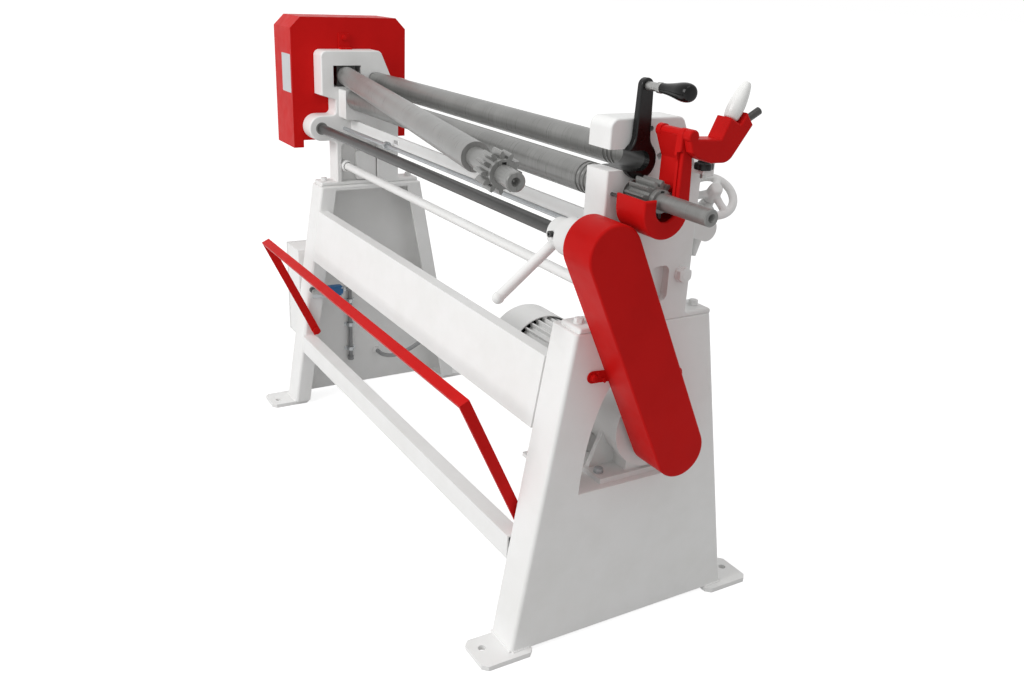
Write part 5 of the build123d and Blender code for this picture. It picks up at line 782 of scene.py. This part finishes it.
def saddle(z):
    """A strip bent over the conduit: it runs flat, up round a half circle and flat again.

    At each point of that line a rectangle stands across it, and the ends shrink to their middles."""
    turn_over = np.linspace(0, np.pi, 25)
    over = CONDUIT + BEND * np.stack([np.sin(turn_over), -np.cos(turn_over)], axis=-1)
    before = CONDUIT + np.array([(-8.0, -19.0), (-8.0, -10.0), (-6.0, -9.6)])
    after = CONDUIT + np.array([(-6.0, 9.6), (-8.0, 10.0), (-8.0, 19.0)])
    line = np.concatenate([before, over, after])
    along = np.gradient(line, axis=0)
    normal = np.stack([along[:, 1], -along[:, 0]], axis=-1)
    normal = normal / np.linalg.norm(normal, axis=1, keepdims=True)
    corners = np.array([(-1, -1), (1, -1), (1, 1), (-1, 1)]) * (STRIP_HALF_THICK, STRIP_HALF_WIDE)
    flat = line[:, None] + corners[None, :, :1] * normal[:, None]
    strip = np.concatenate([flat, np.broadcast_to(z + corners[:, 1:], (len(line), 4, 1))], axis=-1)
    caps = strip[[0, -1]].mean(axis=1, keepdims=True) + np.zeros((2, 4, 3))
    return np.concatenate([caps[:1], strip, caps[1:]])


screw_profile = [(0, 0), (0, 3), (1.6, 2.4), (2.0, 0)]
saddle_screws = [turned(screw_profile, (SCREW_SEAT, CONDUIT[1] + side, z), OUTWARD, 20)
                 for z in SADDLE_HEIGHTS for side in (-SCREW_OUT, SCREW_OUT)]
make_piece("conduit_saddles", [saddle(z) for z in SADDLE_HEIGHTS] + saddle_screws, zinc_plate, "frame",
           30)

# %% [markdown]
# ## The control box's seal
#
# Between the control box and its door a black foam seal shows as a thin dark line. It could be a bevelled
# curve, but here it is a grid like the rest: an oval section carried round a rectangle. The rectangle is an
# ellipse cut off at four sides. The seal moves with the door.

# %% Make the seal
SEAL_X, DOOR_Y, DOOR_Z = -885.25, -109.2, 359.0
SEAL_HALF_Y, SEAL_HALF_Z = 132.5, 153.5
ELLIPSE_Y, ELLIPSE_Z = 190.0, 225.0
SECTION_THICK, SECTION_WIDE = 1.2, 2.2
ROUND_DOOR, ROUND_SECTION = 129, 12

seal_angle = np.linspace(0, 2 * np.pi, ROUND_DOOR)
seal_y = DOOR_Y + np.clip(ELLIPSE_Y * np.cos(seal_angle), -SEAL_HALF_Y, SEAL_HALF_Y)
seal_z = DOOR_Z + np.clip(ELLIPSE_Z * np.sin(seal_angle), -SEAL_HALF_Z, SEAL_HALF_Z)
out_y, out_z = np.sign(seal_y - DOOR_Y), np.sign(seal_z - DOOR_Z)
seal_ring = np.linspace(0, 2 * np.pi, ROUND_SECTION, endpoint=False)
seal_x = SEAL_X + SECTION_THICK * np.cos(seal_ring)
seal_out = SECTION_WIDE * np.sin(seal_ring)
seal_grid = np.stack([np.broadcast_to(seal_x, (ROUND_DOOR, ROUND_SECTION)),
                      seal_y[:, None] + seal_out * out_y[:, None],
                      seal_z[:, None] + seal_out * out_z[:, None]], axis=-1)
make_piece("control_door_seal", [seal_grid], foam_rubber, "control_door", 60)

# %% [markdown]
# ## The left housing's pad and rod boss
#
# The pocket in the left housing holds a raised pad with rounded corners, and the tie rod goes into a boss
# there. Both are plain shapes of the casting, so one is a rounded plate and the other a turned ring.

# %% Make the pad and the boss
POCKET_FLOOR = -720.0
PAD_MIDDLE = (POCKET_FLOOR, -26.0, 799.0)
BOSS_FOOT = (POCKET_FLOOR + 0.2, -95.0, 801.0)
casting_pad = rounded_plate(PAD_MIDDLE, ACROSS, UPWARD, half=(34, 46), corner=8, thick=14, rim=2)
rod_boss = turned(softened([(0, 12.4), (0, 18.4), (26, 18.4), (30, 17.6), (30, 12.4), (0, 12.4)], 2),
                  BOSS_FOOT, OUTWARD, 40)
make_piece("left_housing_bosses", [casting_pad, rod_boss], white_casting, "frame")

# %% [markdown]
# ## Data plate and oiler
#
# A bare aluminium plate is riveted to the gear cover, and a spring-loaded ball oiler sits in the right
# housing's head. A flat picture could stand in for either, but their rims and domes catch the light, so they
# are a thin rounded plate and small turned shapes.

# %% Make the plate and the oiler
PLATE_MIDDLE = np.array([-820.0, -244.0, 1081.0])
FRONTWARD = (0, -1, 0)
OILER_SEAT = (RIGHT_FACE, -53.0, 1136.0)
data_plate = rounded_plate(PLATE_MIDDLE, OUTWARD, UPWARD, half=(41, 58), corner=3, thick=0.8, rim=0.3)
rivets = [turned([(0, 0), (0, 2.6), (0.9, 2.2), (1.5, 1.2), (1.7, 0)],
                 PLATE_MIDDLE + (36 * side, -0.6, 53 * height), FRONTWARD, 20)
          for side in (-1, 1) for height in (-1, 1)]
make_piece("data_plate", [data_plate] + rivets, brushed_aluminium, "frame")
oiler = turned([(0, 0), (0, 4.6), (0.7, 4.4), (0.9, 3.4), (0.3, 2.6), (0.9, 1.2), (1.1, 0)], OILER_SEAT,
               OUTWARD, 28)
make_piece("housing_oiler", [oiler], dark_steel, "frame")

# %% [markdown]
# ## Welds
#
# The stands are welded to their foot plates, and the belt guard to its ear. A weld bead is a row of
# overlapping ripples, so its radius swells and shrinks along the run. A bump in the material would not show
# at its outline, so the ripples are in the mesh. They are drawn about twice as long as real ones, which
# would be too fine to see.

# %% Make the welds
BEAD, BEAD_STEP, BEAD_RIPPLE = 2.6, 5.0, 0.16
FOOT_WELD_Z, EAR_WELD_X = 12.6, 773.4


def weld(start, end):
    """A bead between two points: a round section whose radius ripples by a sixth, closed at both ends."""
    start, end = np.asarray(start, float), np.asarray(end, float)
    length = np.linalg.norm(end - start)
    share = np.linspace(0, 1, int(length / BEAD_STEP) * 6 + 1)
    ripple = BEAD * (1 + BEAD_RIPPLE * np.sin(2 * np.pi * length / BEAD_STEP * share))
    ripple[[0, -1]] = 0.0
    return carried(start + share[:, None] * (end - start), ripple, 10)


# One corner of a stand has a run across its end and one along its side; the others are its mirror images.
corner_runs = [((681, 302), (768, 302)), ((770.4, 298), (770.4, 254))]
beads = [weld((side_x * x0, side_y * y0, FOOT_WELD_Z), (side_x * x1, side_y * y1, FOOT_WELD_Z))
         for side_x in (-1, 1) for side_y in (-1, 1) for (x0, y0), (x1, y1) in corner_runs]
make_piece("foot_welds", beads, white_sheet, "frame")
ear_beads = [weld((EAR_WELD_X, y, z), (EAR_WELD_X, y + 5, z - 14)) for y, z in ((-133, 654), (-118, 640))]
make_piece("belt_guard_welds", ear_beads, red_sheet, "frame")
